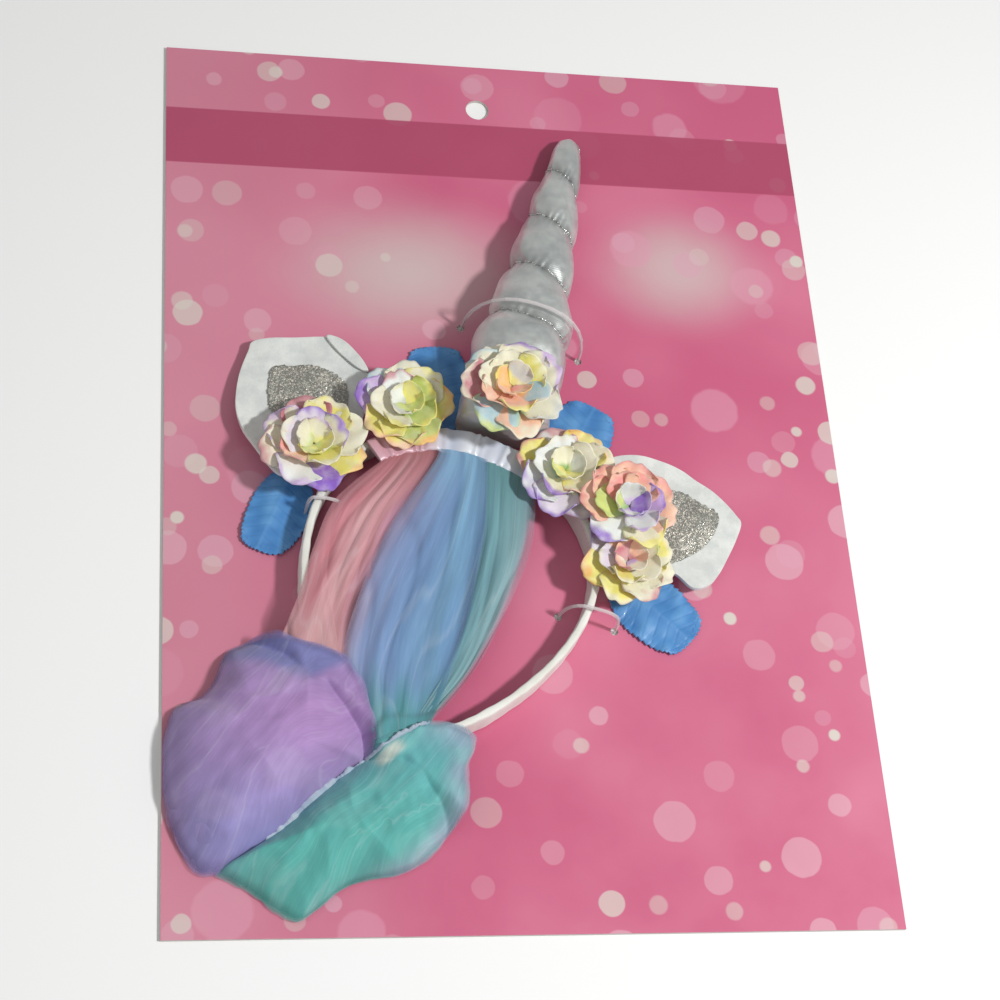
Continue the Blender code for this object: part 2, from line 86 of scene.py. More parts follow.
def linear(red, green, blue):
    """A colour in the shaders' linear scale from its usual 0 to 255 values."""
    shares = (c / 255 for c in (red, green, blue))
    return tuple(((c + 0.055) / 1.055) ** 2.4 if c > 0.04 else c / 12.92 for c in shares)


# Dyes of the flowers, as 0 to 255 values
dyes = {
    "white": (236, 238, 234),
    "cream": (238, 232, 205),
    "pale_grey": (205, 208, 203),
    "yellow": (240, 229, 120),
    "lime": (208, 220, 124),
    "green": (156, 194, 118),
    "lilac": (198, 168, 218),
    "lilac_white": (226, 216, 228),
    "purple": (142, 98, 200),
    "peach": (248, 196, 166),
    "orange": (246, 188, 112),
    "coral": (240, 152, 144),
    "rose": (200, 120, 132),
    "sky": (168, 204, 214),
}
dyes = {name: linear(*values) for name, values in dyes.items()}


class Finish:
    """A Principled material whose colour, bump and alpha are built up by short calls."""

    def __init__(self, name, roughness, metallic=0.0, **sockets):
        self.material = bpy.data.materials.new(name)
        self.material.use_nodes = True
        self.tree = self.material.node_tree
        self.shader = self.tree.nodes["Principled BSDF"]
        self.shader.inputs["Roughness"].default_value = roughness
        self.shader.inputs["Metallic"].default_value = metallic
        for socket, value in sockets.items():
            self.put(self.shader.inputs[socket.replace("_", " ")], value)

    def put(self, socket, value):
        if isinstance(value, bpy.types.NodeSocket):
            self.tree.links.new(value, socket)
        else:
            socket.default_value = value

    def node(self, kind, inputs=None, **settings):
        made = self.tree.nodes.new("ShaderNode" + kind)
        for key, value in settings.items():
            setattr(made, key, value)
        for key, value in (inputs or {}).items():
            self.put(made.inputs[key], value)
        return made

    def place(self):
        """Where a point lies, in metres."""
        return self.node("TexCoord").outputs["Object"]

    def stored(self, name):
        """A value, vector or colour stored on the mesh's points."""
        return self.node("Attribute", attribute_name=name)

    def stretched(self, vector, x=1.0, y=1.0, z=1.0):
        return self.node("Mapping", {"Vector": vector, "Scale": (x, y, z)}).outputs["Vector"]

    def noise(self, scale, vector=None, detail=3.0, rough=0.55, distortion=0.0):
        vector = vector or self.place()
        inputs = dict(Vector=vector, Scale=scale, Detail=detail, Roughness=rough, Distortion=distortion)
        return self.node("TexNoise", inputs).outputs["Fac"]

    def maths(self, operation, a, b=0.0):
        return self.node("Math", {0: a, 1: b}, operation=operation).outputs[0]

    def times(self, a, b):
        return self.maths("MULTIPLY", a, b)

    def steps(self, value, low, high, first=0.0, last=1.0):
        """Value eased from first at low to last at high."""
        inputs = {"Value": value, "From Min": low, "From Max": high, "To Min": first, "To Max": last}
        return self.node("MapRange", inputs, interpolation_type="SMOOTHSTEP").outputs["Result"]

    def mix(self, share, a, b, how="MIX"):
        made = self.node("Mix", data_type="RGBA", blend_type=how)
        for index, value in ((0, share), (6, a), (7, b)):
            if isinstance(value, tuple) and len(value) == 3:
                value = (*value, 1.0)
            self.put(made.inputs[index], value)
        return made.outputs[2]

    def shade(self, value, low, high, first, last):
        """A colour that turns from first to last as value goes from low to high."""
        return self.mix(self.steps(value, low, high), first, last)

    def bump(self, height, strength, distance, below=None):
        inputs = {"Height": height, "Strength": strength, "Distance": distance}
        if below is not None:
            inputs["Normal"] = below
        return self.node("Bump", inputs).outputs["Normal"]

    def done(self, colour=None, normal=None, roughness=None, alpha=None):
        sockets = (("Base Color", colour), ("Normal", normal), ("Roughness", roughness), ("Alpha", alpha))
        for socket, value in sockets:
            if isinstance(value, tuple):
                value = (*value, 1.0)
            if value is not None:
                self.put(self.shader.inputs[socket], value)
        return self.material


def mix(a, b, share):
    return a + (b - a) * share


def ease(value, low, high):
    """0 below low, 1 above high and a smooth step between."""
    t = np.clip((value - low) / (high - low), 0.0, 1.0)
    return t * t * (3 - 2 * t)


def ruffle(x, y, size, seed, octaves=3):
    """A smooth field of bumps about size apart, mostly from -1 to 1."""
    draw = np.random.default_rng(seed)
    total = np.zeros(np.broadcast(x, y).shape)
    for octave in range(octaves):
        for _ in range(5):
            way, phase = draw.uniform(0, 2 * pi, 2)
            pitch = 2 * pi / size * 2**octave * draw.uniform(0.6, 1.3)
            total += np.sin(pitch * (x * math.cos(way) + y * math.sin(way)) + phase) / 2**octave
    return total / 3.2


def ruffle_at(spot, size, seed):
    """A ruffle over spots on the card."""
    return ruffle(spot[..., 0], spot[..., 1], size, seed, 2)


def peak(away, width, power=2):
    """1 where away is zero, falling to nothing a few widths off."""
    return np.exp(-((away / width) ** power))


def grid(rows, columns, start=0):
    """Shares from 0 to 1 down the rows, and from start to 1 across the columns."""
    return np.meshgrid(np.linspace(0, 1, rows), np.linspace(start, 1, columns), indexing="ij")


def ring(sides):
    """Angles evenly spaced round a full turn."""
    return np.linspace(0, 2 * pi, sides, endpoint=False)


def at_height(spot, height):
    """Points at heights over spots on the card."""
    return np.concatenate([spot, height[..., None]], axis=-1)


def ahead_and_side(heading):
    """The card directions along a heading, clockwise from the card's top, and to its right."""
    ahead = np.array([math.sin(heading), math.cos(heading)])
    return ahead, np.array([ahead[1], -ahead[0]])


def run_along(line):
    """How far along a line of points each one lies."""
    return np.concatenate([[0.0], np.cumsum(np.linalg.norm(np.diff(line, axis=0), axis=1))])


def dye_mix(stops, at):
    """Colours at values from 0 to 1 through (value, colour) stops; a colour is a name or 0 to 255 values."""
    places, colours = zip(*stops)
    colours = np.array([dyes[c] if isinstance(c, str) else linear(*c) for c in colours])
    return np.stack([np.interp(at, places, colours[:, k]) for k in range(3)], axis=-1)


def dyed(tint, colour, share):
    """Colours dyed by a share with another one, which is given as 0 to 255 values."""
    return mix(tint, np.array(linear(*colour)), share[..., None])


def place(u, v):
    """The card position of a point in the head band's own frame: u across it, v towards its crown."""
    c, s = math.cos(band_lean), math.sin(band_lean)
    return np.stack([band_centre[0] + u * c + v * s, band_centre[1] - u * s + v * c], axis=-1)


def band_at(angle, outward=0.0):
    """Points on the band's middle line, or that far outward from it. Angle 0 is the crown."""
    width = 1 + band_taper * np.cos(angle)
    along_u = band_half_width * (width * np.cos(angle) - band_taper * np.sin(angle) ** 2)
    along_v = -band_half_length * np.sin(angle)
    run = np.hypot(along_u, along_v)
    u = band_half_width * width * np.sin(angle) - along_v / run * outward
    v = band_half_length * np.cos(angle) + along_u / run * outward
    return place(u, v)


def catmull(rows, at):
    """Smooth values at shares from 0 to 1 through evenly spaced rows."""
    rows = np.array(rows, float)
    last = len(rows) - 1
    spot = np.clip(at, 0.0, 1.0) * last
    i = np.minimum(spot.astype(int), last - 1)
    t = (spot - i)[..., None]
    a, b, c, d = (rows[np.clip(i + k, 0, last)] for k in (-1, 0, 1, 2))
    return 0.5 * (2 * b + (c - a) * t + (2 * a - 5 * b + 4 * c - d) * t**2 + (3 * b - a - 3 * c + d) * t**3)


def patches(name, grids, finish, thick=0.0, wrap=False):
    """One mesh from grids of points. A grid is (points, colour or None, weave or None), each rows by columns.
    """
    vertices, faces, dye_values, weave_values = [], [], [], []
    first = 0
    for points, dye_and_shade, weave in grids:
        rows, columns = points.shape[:2]
        vertices.append(points.reshape(-1, 3))
        index = first + np.arange(rows * columns).reshape(rows, columns)
        across = np.concatenate([index, index[:, :1]], axis=1) if wrap else index
        quads = [across[:-1, :-1], across[:-1, 1:], across[1:, 1:], across[1:, :-1]]
        faces.append(np.stack(quads, axis=-1).reshape(-1, 4))
        flat = np.ones((rows * columns, 4))
        if dye_and_shade is not None:
            flat[:, : dye_and_shade.shape[-1]] = dye_and_shade.reshape(rows * columns, -1)
        dye_values.append(flat)
        held = np.zeros((rows * columns, 3))
        if weave is not None:
            held[:, : weave.shape[-1]] = weave.reshape(rows * columns, -1)
        weave_values.append(held)
        first += rows * columns
    mesh = bpy.data.meshes.new(name)
    mesh.from_pydata(np.concatenate(vertices).tolist(), [], np.concatenate(faces).tolist())
    # The stored colour holds dyes and, on most pieces, painted light and shade.
    stored = (("dye_and_shade", "FLOAT_COLOR", "color", dye_values), ("weave", "FLOAT_VECTOR", "vector", weave_values))
    for title, kind, field, values in stored:
        data = mesh.attributes.new(title, kind, "POINT").data
        data.foreach_set(field, np.concatenate(values).astype(np.float32).ravel())
    mesh.shade_smooth()
    piece = bpy.data.objects.new(name, mesh)
    bpy.context.scene.collection.objects.link(piece)
    piece.data.materials.append(finish)
    if thick:
        wall = piece.modifiers.new("wall", "SOLIDIFY")
        wall.thickness = thick
        wall.offset = 0.0
    return piece


def area_of(piece):
    """The area of a piece's cloth in square metres: half of all its faces where it has two sides."""
    graph = bpy.context.evaluated_depsgraph_get()
    mesh = piece.evaluated_get(graph).to_mesh()
    total = sum(face.area for face in mesh.polygons)
    piece.evaluated_get(graph).to_mesh_clear()
    return total / 2 if any(m.type == "SOLIDIFY" for m in piece.modifiers) else total


def solid(piece, slot, *nodes):
    """Declares a piece's body and the nodes that it stands for; its material slot is not used."""
    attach(piece, "root")
    if nodes:
        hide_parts(*nodes)


def cloth(piece, slot, nodes, flat):
    """Declares a piece of cloth's body and the nodes that it stands for; its flat size only goes into an area
    that is not kept.
    """
    solid(piece, slot, *nodes)
    uncut = flat[0] * flat[1]
    area = min(max(area_of(piece), 0.31 * uncut), uncut)


# Finishes


def card_finish():
    """Printed board: soft light circles on pink, denser at the top and bottom, and a bare dark band."""
    look = Finish("printed_card_look", 0.40, Coat_Weight=0.25, Coat_Roughness=0.22)
    spot = look.place()
    parts = look.node("SeparateXYZ", {0: spot})
    x, y = parts.outputs[0], parts.outputs[1]
    clouds = look.noise(8.0, detail=2.0)
    colour = look.shade(clouds, 0.35, 0.70, linear(207, 96, 132), linear(220, 124, 153))
    # The left side is paler and greyer, and two soft glows lie beside the horn
    pale = look.steps(x, -0.15, -0.01, 0.55, 0.0)
    colour = look.mix(pale, colour, linear(214, 152, 166))
    for u, v, wide, high, share in ((-0.040, 0.092, 0.075, 0.050, 0.80), (0.086, 0.100, 0.052, 0.040, 0.72)):
        inputs = {"Vector": spot, "Location": (-u / wide, -v / high, 0.0), "Scale": (1 / wide, 1 / high, 0.0)}
        moved = look.node("Mapping", inputs).outputs[0]
        away = look.node("VectorMath", {0: moved}, operation="LENGTH").outputs["Value"]
        ragged = look.maths("ADD", away, look.times(look.noise(30.0), 0.25))
        colour = look.mix(look.steps(ragged, 0.15, 1.15, share, 0.0), colour, linear(214, 200, 196))
    # Each layer of circles: cells to a metre, turn, least and greatest radius in cells, softness, colour,
    # strength, share kept
    layers = (
        (17.0, 0.4, 0.12, 0.26, 0.030, (226, 158, 180), 0.55, 0.90),
        (26.0, 1.1, 0.12, 0.25, 0.020, (228, 178, 192), 0.60, 0.95),
        (29.0, 3.7, 0.12, 0.25, 0.020, (222, 168, 186), 0.60, 0.80),
        (33.0, 2.3, 0.14, 0.25, 0.025, (218, 200, 194), 0.85, 0.80),
        (45.0, 0.9, 0.14, 0.25, 0.050, (220, 216, 204), 0.90, 0.35),
    )
    for cells, turn, least, most, soft, tint, strength, kept in layers:
        moved = look.node("Mapping", {"Vector": spot, "Rotation": (0.0, 0.0, turn)}).outputs[0]
        inputs = {"Vector": moved, "Scale": cells, "Randomness": 0.5}
        cell = look.node("TexVoronoi", inputs, voronoi_dimensions="2D")
        random = look.node("SeparateColor", {0: cell.outputs["Color"]})
        # How far up the card the middle of the circle lies
        back = (math.sin(turn), math.cos(turn), 0.0)
        centre = look.node("VectorMath", {0: cell.outputs["Position"], 1: back}, operation="DOT_PRODUCT")
        away = look.maths("ABSOLUTE", look.maths("ADD", centre.outputs["Value"], 0.012))
        crowd = look.steps(away, 0.04, 0.165, 0.10, 1.0)
        size = look.steps(random.outputs[0], 0.0, 1.0, least, most)
        ripple = look.times(look.noise(180.0, detail=1.0), 0.03)
        inside = look.maths("SUBTRACT", size, look.maths("ADD", cell.outputs["Distance"], ripple))
        inside = look.steps(inside, 0.0, soft)
        chosen = look.maths("LESS_THAN", random.outputs[1], look.times(crowd, kept))
        share = look.times(look.times(inside, chosen), strength)
        share = look.times(share, look.steps(random.outputs[2], 0.0, 1.0, 0.40, 1.0))
        colour = look.mix(share, colour, linear(*tint))
    band = look.times(look.steps(y, 0.1455, 0.1462), look.steps(y, 0.1758, 0.1765, 1.0, 0.0))
    dark = look.mix(look.noise(12.0), linear(174, 66, 102), linear(186, 80, 112))
    colour = look.mix(look.times(band, 0.95), colour, dark)
    facing = look.node("SeparateXYZ", {0: look.node("NewGeometry").outputs["Normal"]}).outputs[2]
    board = look.mix(look.noise(400.0), linear(176, 168, 160), linear(198, 192, 184))
    colour = look.mix(look.steps(facing, 0.4, 0.6), board, colour)
    rough = look.steps(look.noise(60.0), 0.3, 0.7, 0.34, 0.46)
    waves = look.bump(look.noise(14.0, detail=1.0), 0.35, 0.004)
    grain = look.bump(look.noise(2600.0), 0.06, 0.0002, waves)
    return look.done(colour, grain, rough)


def ribbon_finish():
    """White woven ribbon with a stitched inner edge."""
    look = Finish("white_ribbon_look", 0.62, Sheen_Weight=0.35, Sheen_Roughness=0.5)
    weave = look.stored("weave").outputs["Vector"]
    parts = look.node("SeparateXYZ", {0: weave})
    run, round_it = parts.outputs[0], parts.outputs[1]
    inputs = {"Vector": weave, "Scale": 520.0, "Distortion": 1.2}
    threads = look.node("TexWave", inputs, bands_direction="DIAGONAL")
    stitch_pitch, stitch_depth = 0.0021, 0.0026
    dots = look.maths("SINE", look.times(run, 2 * pi / stitch_pitch))
    away = look.maths("ABSOLUTE", look.maths("SUBTRACT", round_it, stitch_depth))
    stitch = look.times(look.steps(dots, 0.2, 0.7), look.steps(away, 0.0001, 0.0004, 1.0, 0.0))
    soil = look.noise(70.0)
    colour = look.shade(soil, 0.3, 0.75, linear(226, 226, 216), linear(240, 240, 232))
    colour = look.mix(look.times(stitch, 0.55), colour, linear(150, 148, 146))
    bump = look.bump(threads.outputs["Fac"], 0.18, 0.0002)
    bump = look.bump(stitch, -0.5, 0.0004, bump)
    return look.done(colour, bump)


def felt_finish():
    """Off-white felt: fine matted fibres, soft shading."""
    look = Finish("felt_look", 0.92, Sheen_Weight=0.45, Sheen_Roughness=0.6)
    spot = look.place()
    fibres = look.noise(1500.0, look.stretched(spot, 1.0, 0.5), detail=5.0, rough=0.7)
    clumps = look.noise(140.0)
    colour = look.shade(clumps, 0.3, 0.7, linear(214, 218, 214), linear(234, 236, 231))
    colour = look.mix(look.steps(fibres, 0.35, 0.75, 0.0, 0.25), colour, linear(196, 200, 198))
    return look.done(colour, look.bump(fibres, 0.35, 0.0004, look.bump(clumps, 0.25, 0.0008)))


def glitter_finish():
    """Silver glitter fabric: flakes painted dimmer or brighter as if each caught the light its own way,
    painted glints on a few, and a bump that tilts them.
    """
    look = Finish("glitter_look", 0.40, 0.35)
    spot = look.place()
    flakes = look.node("TexVoronoi", {"Vector": spot, "Scale": 1900.0})
    tone = look.node("SeparateColor", {0: flakes.outputs["Color"]})
    dim_patches = look.noise(220.0, detail=2.0)
    # Painted reflection: each flake's colour runs from dim to bright, as though it caught the light its own
    # way.
    colour = look.shade(tone.outputs[0], 0.45, 0.95, linear(150, 149, 140), linear(222, 220, 206))
    # Darker in patches at random.
    colour = look.mix(look.steps(dim_patches, 0.35, 0.65, 0.40, 0.0), colour, linear(138, 140, 136))
    # Painted glints: a few flakes are painted almost white.
    colour = look.shade(tone.outputs[1], 0.90, 0.94, colour, linear(250, 240, 226))
    rough = look.steps(tone.outputs[2], 0.0, 1.0, 0.18, 0.55)
    tilt = look.bump(tone.outputs[1], 0.45, 0.0005)
    return look.done(colour, look.bump(flakes.outputs["Distance"], 0.5, 0.0004, tilt), rough)


def silver_finish():
    """Silver lame: a metallic satin with a fine weave, creased along the seam, its colour darkened by painted
    shade along the seam.
    """
    look = Finish("silver_cloth_look", 0.36, 0.72, Sheen_Weight=0.25, Sheen_Roughness=0.4)
    weave = look.stored("weave").outputs["Vector"]
    fine = look.node("TexWave", {"Vector": weave, "Scale": 330.0, "Distortion": 1.5}, bands_direction="X")
    soft = look.noise(60.0)
    colour = look.shade(soft, 0.3, 0.7, linear(200, 205, 203), linear(232, 236, 232))
    # Painted shade: multiplied by the darkening stored along the seam's groove.
    colour = look.mix(1.0, colour, look.stored("dye_and_shade").outputs["Color"], "MULTIPLY")
    rough = look.steps(look.noise(240.0), 0.3, 0.7, 0.34, 0.50)
    bump = look.bump(look.noise(210.0, detail=4.0), 0.22, 0.0012)
    bump = look.bump(fine.outputs["Fac"], 0.12, 0.0002, bump)
    return look.done(colour, bump, rough)


def thread_finish():
    look = Finish("silver_thread_look", 0.25, 0.85)
    glint = look.noise(900.0)
    return look.done(look.shade(glint, 0.4, 0.6, linear(150, 152, 150), linear(240, 240, 236)))


def leaf_finish():
    """Pressed blue polyester leaf with paler veins and a silky gloss."""
    look = Finish("blue_leaf_look", 0.42, Sheen_Weight=0.3, Sheen_Roughness=0.35, Coat_Weight=0.08)
    spot = look.place()
    threads = look.noise(1100.0, look.stretched(spot, 1.0, 0.35), detail=2.0)
    cloudy = look.noise(90.0, detail=2.0)
    colour = look.shade(cloudy, 0.3, 0.7, (0.86, 0.90, 0.95), (1.0, 1.0, 1.0))
    colour = look.mix(1.0, look.stored("dye_and_shade").outputs["Color"], colour, "MULTIPLY")
    return look.done(colour, look.bump(threads, 0.25, 0.0003))


def petal_finish():
    """Dyed polyester petal: colour as dyed, with painted shade towards its foot, a fine weave and crinkles.
    """
    look = Finish("petal_look", 0.60, Sheen_Weight=0.25, Sheen_Roughness=0.5, Subsurface_Weight=0.10)
    look.shader.inputs["Subsurface Scale"].default_value = 0.0015
    bleed = look.noise(170.0)
    weave = look.noise(1700.0, detail=2.0)
    colour = look.stored("dye_and_shade").outputs["Color"]
    colour = look.mix(look.steps(bleed, 0.35, 0.75, 0.0, 0.30), colour, linear(240, 238, 228))
    crinkle = look.bump(look.noise(420.0), 0.30, 0.0008)
    return look.done(colour, look.bump(weave, 0.20, 0.0003, crinkle))


def satin_finish():
    look = Finish("header_satin_look", 0.34, Sheen_Weight=0.4, Sheen_Roughness=0.3, Specular_IOR_Level=0.7)
    weave = look.noise(1300.0, detail=2.0)
    # The stored colour is the satin's dye with painted light and shade on its puckers.
    return look.done(look.stored("dye_and_shade").outputs["Color"], look.bump(weave, 0.15, 0.0002))


def tulle_finish():
    """Tulle: soft folds with painted light and shade, faint creases with painted pale highlights along them,
    and threads; see-through where only one layer lies.
    """
    look = Finish("tulle_look", 0.80, Sheen_Weight=0.25, Sheen_Roughness=0.5)
    dye_and_shade = look.stored("dye_and_shade")
    weave = look.stored("weave").outputs["Vector"]
    folds = look.noise(1.0, look.stretched(weave, 150.0, 14.0), detail=2.0, rough=0.5)
    threads = look.noise(1.0, look.stretched(weave, 1500.0, 90.0), detail=2.0)
    crease_glint_noise = look.noise(1.0, look.stretched(weave, 60.0, 9.0), detail=2.0, rough=0.5, distortion=0.4)
    away = look.maths("ABSOLUTE", look.maths("SUBTRACT", crease_glint_noise, 0.5))
    crease_glint = look.steps(away, 0.0, 0.020, 1.0, 0.0)
    net = look.node("TexVoronoi", {"Vector": look.stretched(weave, 1300.0, 1300.0), "Scale": 1.0})
    # Painted light and shade: the colour is lighter and darker with the same soft folds that the bump raises.
    shade = look.shade(folds, 0.30, 0.70, (0.90, 0.89, 0.91), (1.06, 1.06, 1.05))
    colour = look.mix(1.0, dye_and_shade.outputs["Color"], shade, "MULTIPLY")
    # Painted highlights: pale lines along the creases.
    colour = look.mix(look.times(crease_glint, 0.10), colour, linear(222, 226, 232))
    colour = look.mix(look.steps(threads, 0.58, 0.80, 0.0, 0.10), colour, linear(214, 216, 222))
    thin = look.steps(threads, 0.35, 0.65, 0.93, 1.0)
    alpha = look.times(thin, dye_and_shade.outputs["Alpha"])
    bump = look.bump(folds, 0.25, 0.0016)
    bump = look.bump(net.outputs["Distance"], 0.12, 0.0003, look.bump(crease_glint, 0.12, 0.0006, bump))
    return look.done(colour, bump, None, alpha)


def clear_finish():
    """Milky clear plastic, lightly scuffed."""
    look = Finish("clear_tie_look", 0.18, IOR=1.47, Specular_IOR_Level=0.8, Alpha=0.55)
    scuffs = look.noise(900.0)
    rough = look.steps(scuffs, 0.4, 0.8, 0.14, 0.40)
    return look.done(linear(232, 226, 226), look.bump(scuffs, 0.1, 0.0002), rough)


# Head band


def make_band(finish):
    """The ribbon-wrapped band: a rounded strip on its edge, with the slight ridges of the wrapping."""
    stations, sides = 420, 36
    angle = np.linspace(band_left_end, band_right_end, stations)
    line = band_at(angle)
    run = run_along(line)
    turn = ring(sides)
    # The section is an oblong with rounded corners; a wrap of ribbon shows at each pitch
    bend, wrap_pitch = 5.0, 0.0085
    across = np.sign(np.cos(turn)) * np.abs(np.cos(turn)) ** (2 / bend)
    up = np.sign(np.sin(turn)) * np.abs(np.sin(turn)) ** (2 / bend)
    half_height = (band_top - band_foot) / 2
    wraps = np.sin(2 * pi * run / wrap_pitch) * 0.00008 + ruffle(run, 0 * run, 0.02, 3) * 0.00012
    wraps = wraps[:, None]
    end = np.minimum(ease(run, -0.0006, 0.0022), ease(run[-1] - run, -0.0006, 0.0022))[:, None]
    half = (band_thickness / 2 - 0.0001) * (0.25 + 0.75 * end)
    spot = band_at(angle[:, None], half * across + wraps * across)
    tall = (half_height - 0.0001) * (0.7 + 0.3 * end)
    height = (band_foot + band_top) / 2 + tall * up
    points = at_height(spot, height)
    inner = np.where(across < 0, (1 - up) * half_height, 0.02)
    weave = np.stack(np.broadcast_arrays(run[:, None], inner[None, :]), axis=-1)
    piece = patches("headband_ribbon", [(points, None, weave)], finish, wrap=True)
    cap_ends(piece, stations, sides)
    solid(piece, "white_fabric", "headband")


def cap_ends(piece, rows, columns):
    """Closes the first and the last ring of a tube."""
    build = bmesh.new()
    build.from_mesh(piece.data)
    build.verts.ensure_lookup_table()
    build.faces.new([build.verts[i] for i in range(columns)])
    build.faces.new([build.verts[(rows - 1) * columns + i] for i in reversed(range(columns))])
    bmesh.ops.recalc_face_normals(build, faces=build.faces)
    build.to_mesh(piece.data)
    build.free()
    piece.data.shade_smooth()


# Horn: share of its length, share of its full width and depth
horn_profile = (
    (0.00, 0.90), (0.13, 0.98), (0.27, 1.00), (0.41, 0.81), (0.60, 0.65),
    (0.75, 0.51), (0.94, 0.33), (0.985, 0.24), (1.00, 0.10),
)


# How far off the band's face the horn's root starts
horn_seat = 0.0024


def horn_size(share):
    places, sizes = zip(*horn_profile)
    return np.interp(share, places, sizes)


def horn_middle(share):
    return band_foot + horn_depth / 2 * np.maximum(horn_size(share), horn_profile[-2][1])


def horn_point(along, across):
    root = band_at(horn_station, band_thickness / 2 + seat_gap)
    ahead, side = ahead_and_side(horn_lean)
    return root + ahead * along[..., None] + side * across[..., None]


def seam_turn(turn):
    """The turns that the seam has run at an angle round the horn: it climbs faster on the right side."""
    return (turn + 0.85 * np.sin(turn)) / (2 * pi)


def horn_surface(share, turn, proud=0.0):
    """Points of the padded horn, and how near each is to the spiral seam, from 0 to 1 in it."""
    wind = horn_first_turn + horn_turns * share - seam_turn(turn)
    off = np.abs((wind + 0.5) % 1.0 - 0.5)
    pitch = horn_length / horn_turns
    away = off * pitch
    size = horn_size(share)
    pinch = peak(away, 0.0030, 1.2)
    puckers = np.sin(turn * 17 + 3 * np.sin(turn * 3 + share * 40)) * peak(away, 0.0050, 1.5)
    dents = ruffle(share * horn_length, turn * 0.012, 0.021, 11, 2)
    radius = size * (1 - 0.19 * peak(away, 0.0066, 1.2) * np.clip(share * 14, 0.0, 1.0))
    crumple = (puckers * 0.00038 + dents * 0.00045) * np.minimum(size * 2, 1.0)
    reach = radius * horn_width / 2 + crumple + proud
    across = reach * np.cos(turn)
    root = horn_seat + np.maximum(across, 0.0) * horn_root_slant
    along = root + (horn_length - root) * share
    height = horn_middle(share) + reach * horn_depth / horn_width * np.sin(turn)
    return at_height(horn_point(along, across), np.maximum(height, band_foot)), pinch


def make_horn(finish, thread):
    stations, sides = 280, 130
    share = np.linspace(0.0, 1.0, stations)[:, None]
    turn = ring(sides)[None, :]
    share, turn = np.broadcast_arrays(share, turn)
    points, pinch = horn_surface(share, turn)
    # Painted shade: the cover's colour is darkened in the groove of the spiral seam.
    shade = (1 - 0.42 * pinch)[..., None] * np.ones(3)
    weave = np.stack([share * horn_length, turn * 0.016], axis=-1)
    piece = patches("horn_cover", [(points, shade, weave)], finish, wrap=True)
    cap_ends(piece, stations, sides)
    solid(piece, "silver_fabric", "horn")
    thread_radius, proud, shortest = 0.00028, 0.0002, 12
    grids = []
    for first in range(1, int(horn_turns + horn_first_turn) + 1):
        turn = np.linspace(radians(-20), radians(200), 240)
        share = (first + seam_turn(turn) - horn_first_turn) / horn_turns
        keep = (share > 0.01) & (share < 0.975)
        if keep.sum() < shortest:
            continue
        line, _ = horn_surface(share[keep], turn[keep], proud)
        stitches = np.sin(np.arange(len(line)) * 1.3) * 0.00008
        grids.append((tube(line, thread_radius, 6, stitches), None, None))
    solid(patches("horn_seam", grids, thread, wrap=True), "silver_fabric")


def way_along(line):
    """The direction of a line at each of its points."""
    ahead = np.gradient(line, axis=0)
    return ahead / np.linalg.norm(ahead, axis=1)[:, None]


def tube(line, radius, sides, swell=0.0):
    """Rings of points round a line, its radius plus a swell at each point."""
    ahead = way_along(line)
    side = np.cross(ahead, (0.0, 0.0, 1.0))
    side /= np.linalg.norm(side, axis=1)[:, None]
    up = np.cross(side, ahead)
    turn = ring(sides)
    size = np.broadcast_to(radius + swell, (len(line),))[:, None, None]
    c, s = np.cos(turn)[None, :, None], np.sin(turn)[None, :, None]
    return line[:, None, :] + (side[:, None, :] * c + up[:, None, :] * s) * size


# Outlines of the ears and their patches, in millimetres on the card, clockwise from the tip
left_ear_outline = (
    (-110, 50), (-95, 52), (-79, 52.5), (-73, 50), (-66, 42), (-62, 33), (-63, 18), (-72, -2), (-84, -12),
    (-94, -17), (-101, -17), (-106, -12), (-112, -2), (-117, 7), (-119, 18), (-117, 33), (-113, 45),
)
left_patch_outline = (
    (-103, 36), (-94, 37.5), (-85, 37), (-75, 32), (-71, 24), (-74, 10), (-82, 2), (-92, 0), (-100, 6),
    (-104, 14), (-105, 25),
)
left_fold_outline = (
    (-79.5, 52.5), (-73, 50.5), (-66, 42.5), (-62, 34), (-66.5, 36), (-71.5, 41), (-76, 46),
)
right_ear_outline = (
    (97, -29), (98.5, -33), (95, -41), (90, -50), (85, -58), (80, -63), (73, -64.5), (66, -58), (54, -53),
    (42, -44), (33, -30), (32, -16), (40, -6), (52, -2.5), (65, -4.5), (74, -8), (80, -12), (87, -17),
    (93, -23),
)
right_patch_outline = (
    (88, -28.5), (87, -35), (81, -44), (72, -50), (63, -53.5), (53, -50), (48, -38), (52, -25), (60, -19.5),
    (68, -18), (75, -19.5), (81, -24),
)
ear_root_height = 0.0085
ear_tip_height = 0.0050
ear_length = 0.065
ear_half_width = 0.033


def ear_height(spot, root, heading, seed):
    """How high an ear's felt lies over the card: it comes down from the band to its tip, slightly wavy."""
    ahead, side = ahead_and_side(heading)
    along = np.clip((spot - root) @ ahead / ear_length, 0.0, 1.15)
    across = (spot - root) @ side / ear_half_width
    wave = ruffle_at(spot, 0.034, seed) * 0.0007
    cup = 0.0022 * np.clip(np.abs(across), 0, 1) ** 2 * (1 - 0.6 * along)
    return card_top + mix(ear_root_height, ear_tip_height, along) + cup + wave


def rim_grid(outline, rows, columns):
    """Points of a flat shape from its middle out to its outline, given in millimetres on the card."""
    rim = closed_line(outline, columns)
    centre = rim.mean(axis=0)
    out = np.linspace(0.0, 1.0, rows)[:, None, None]
    return centre + (rim - centre) * out


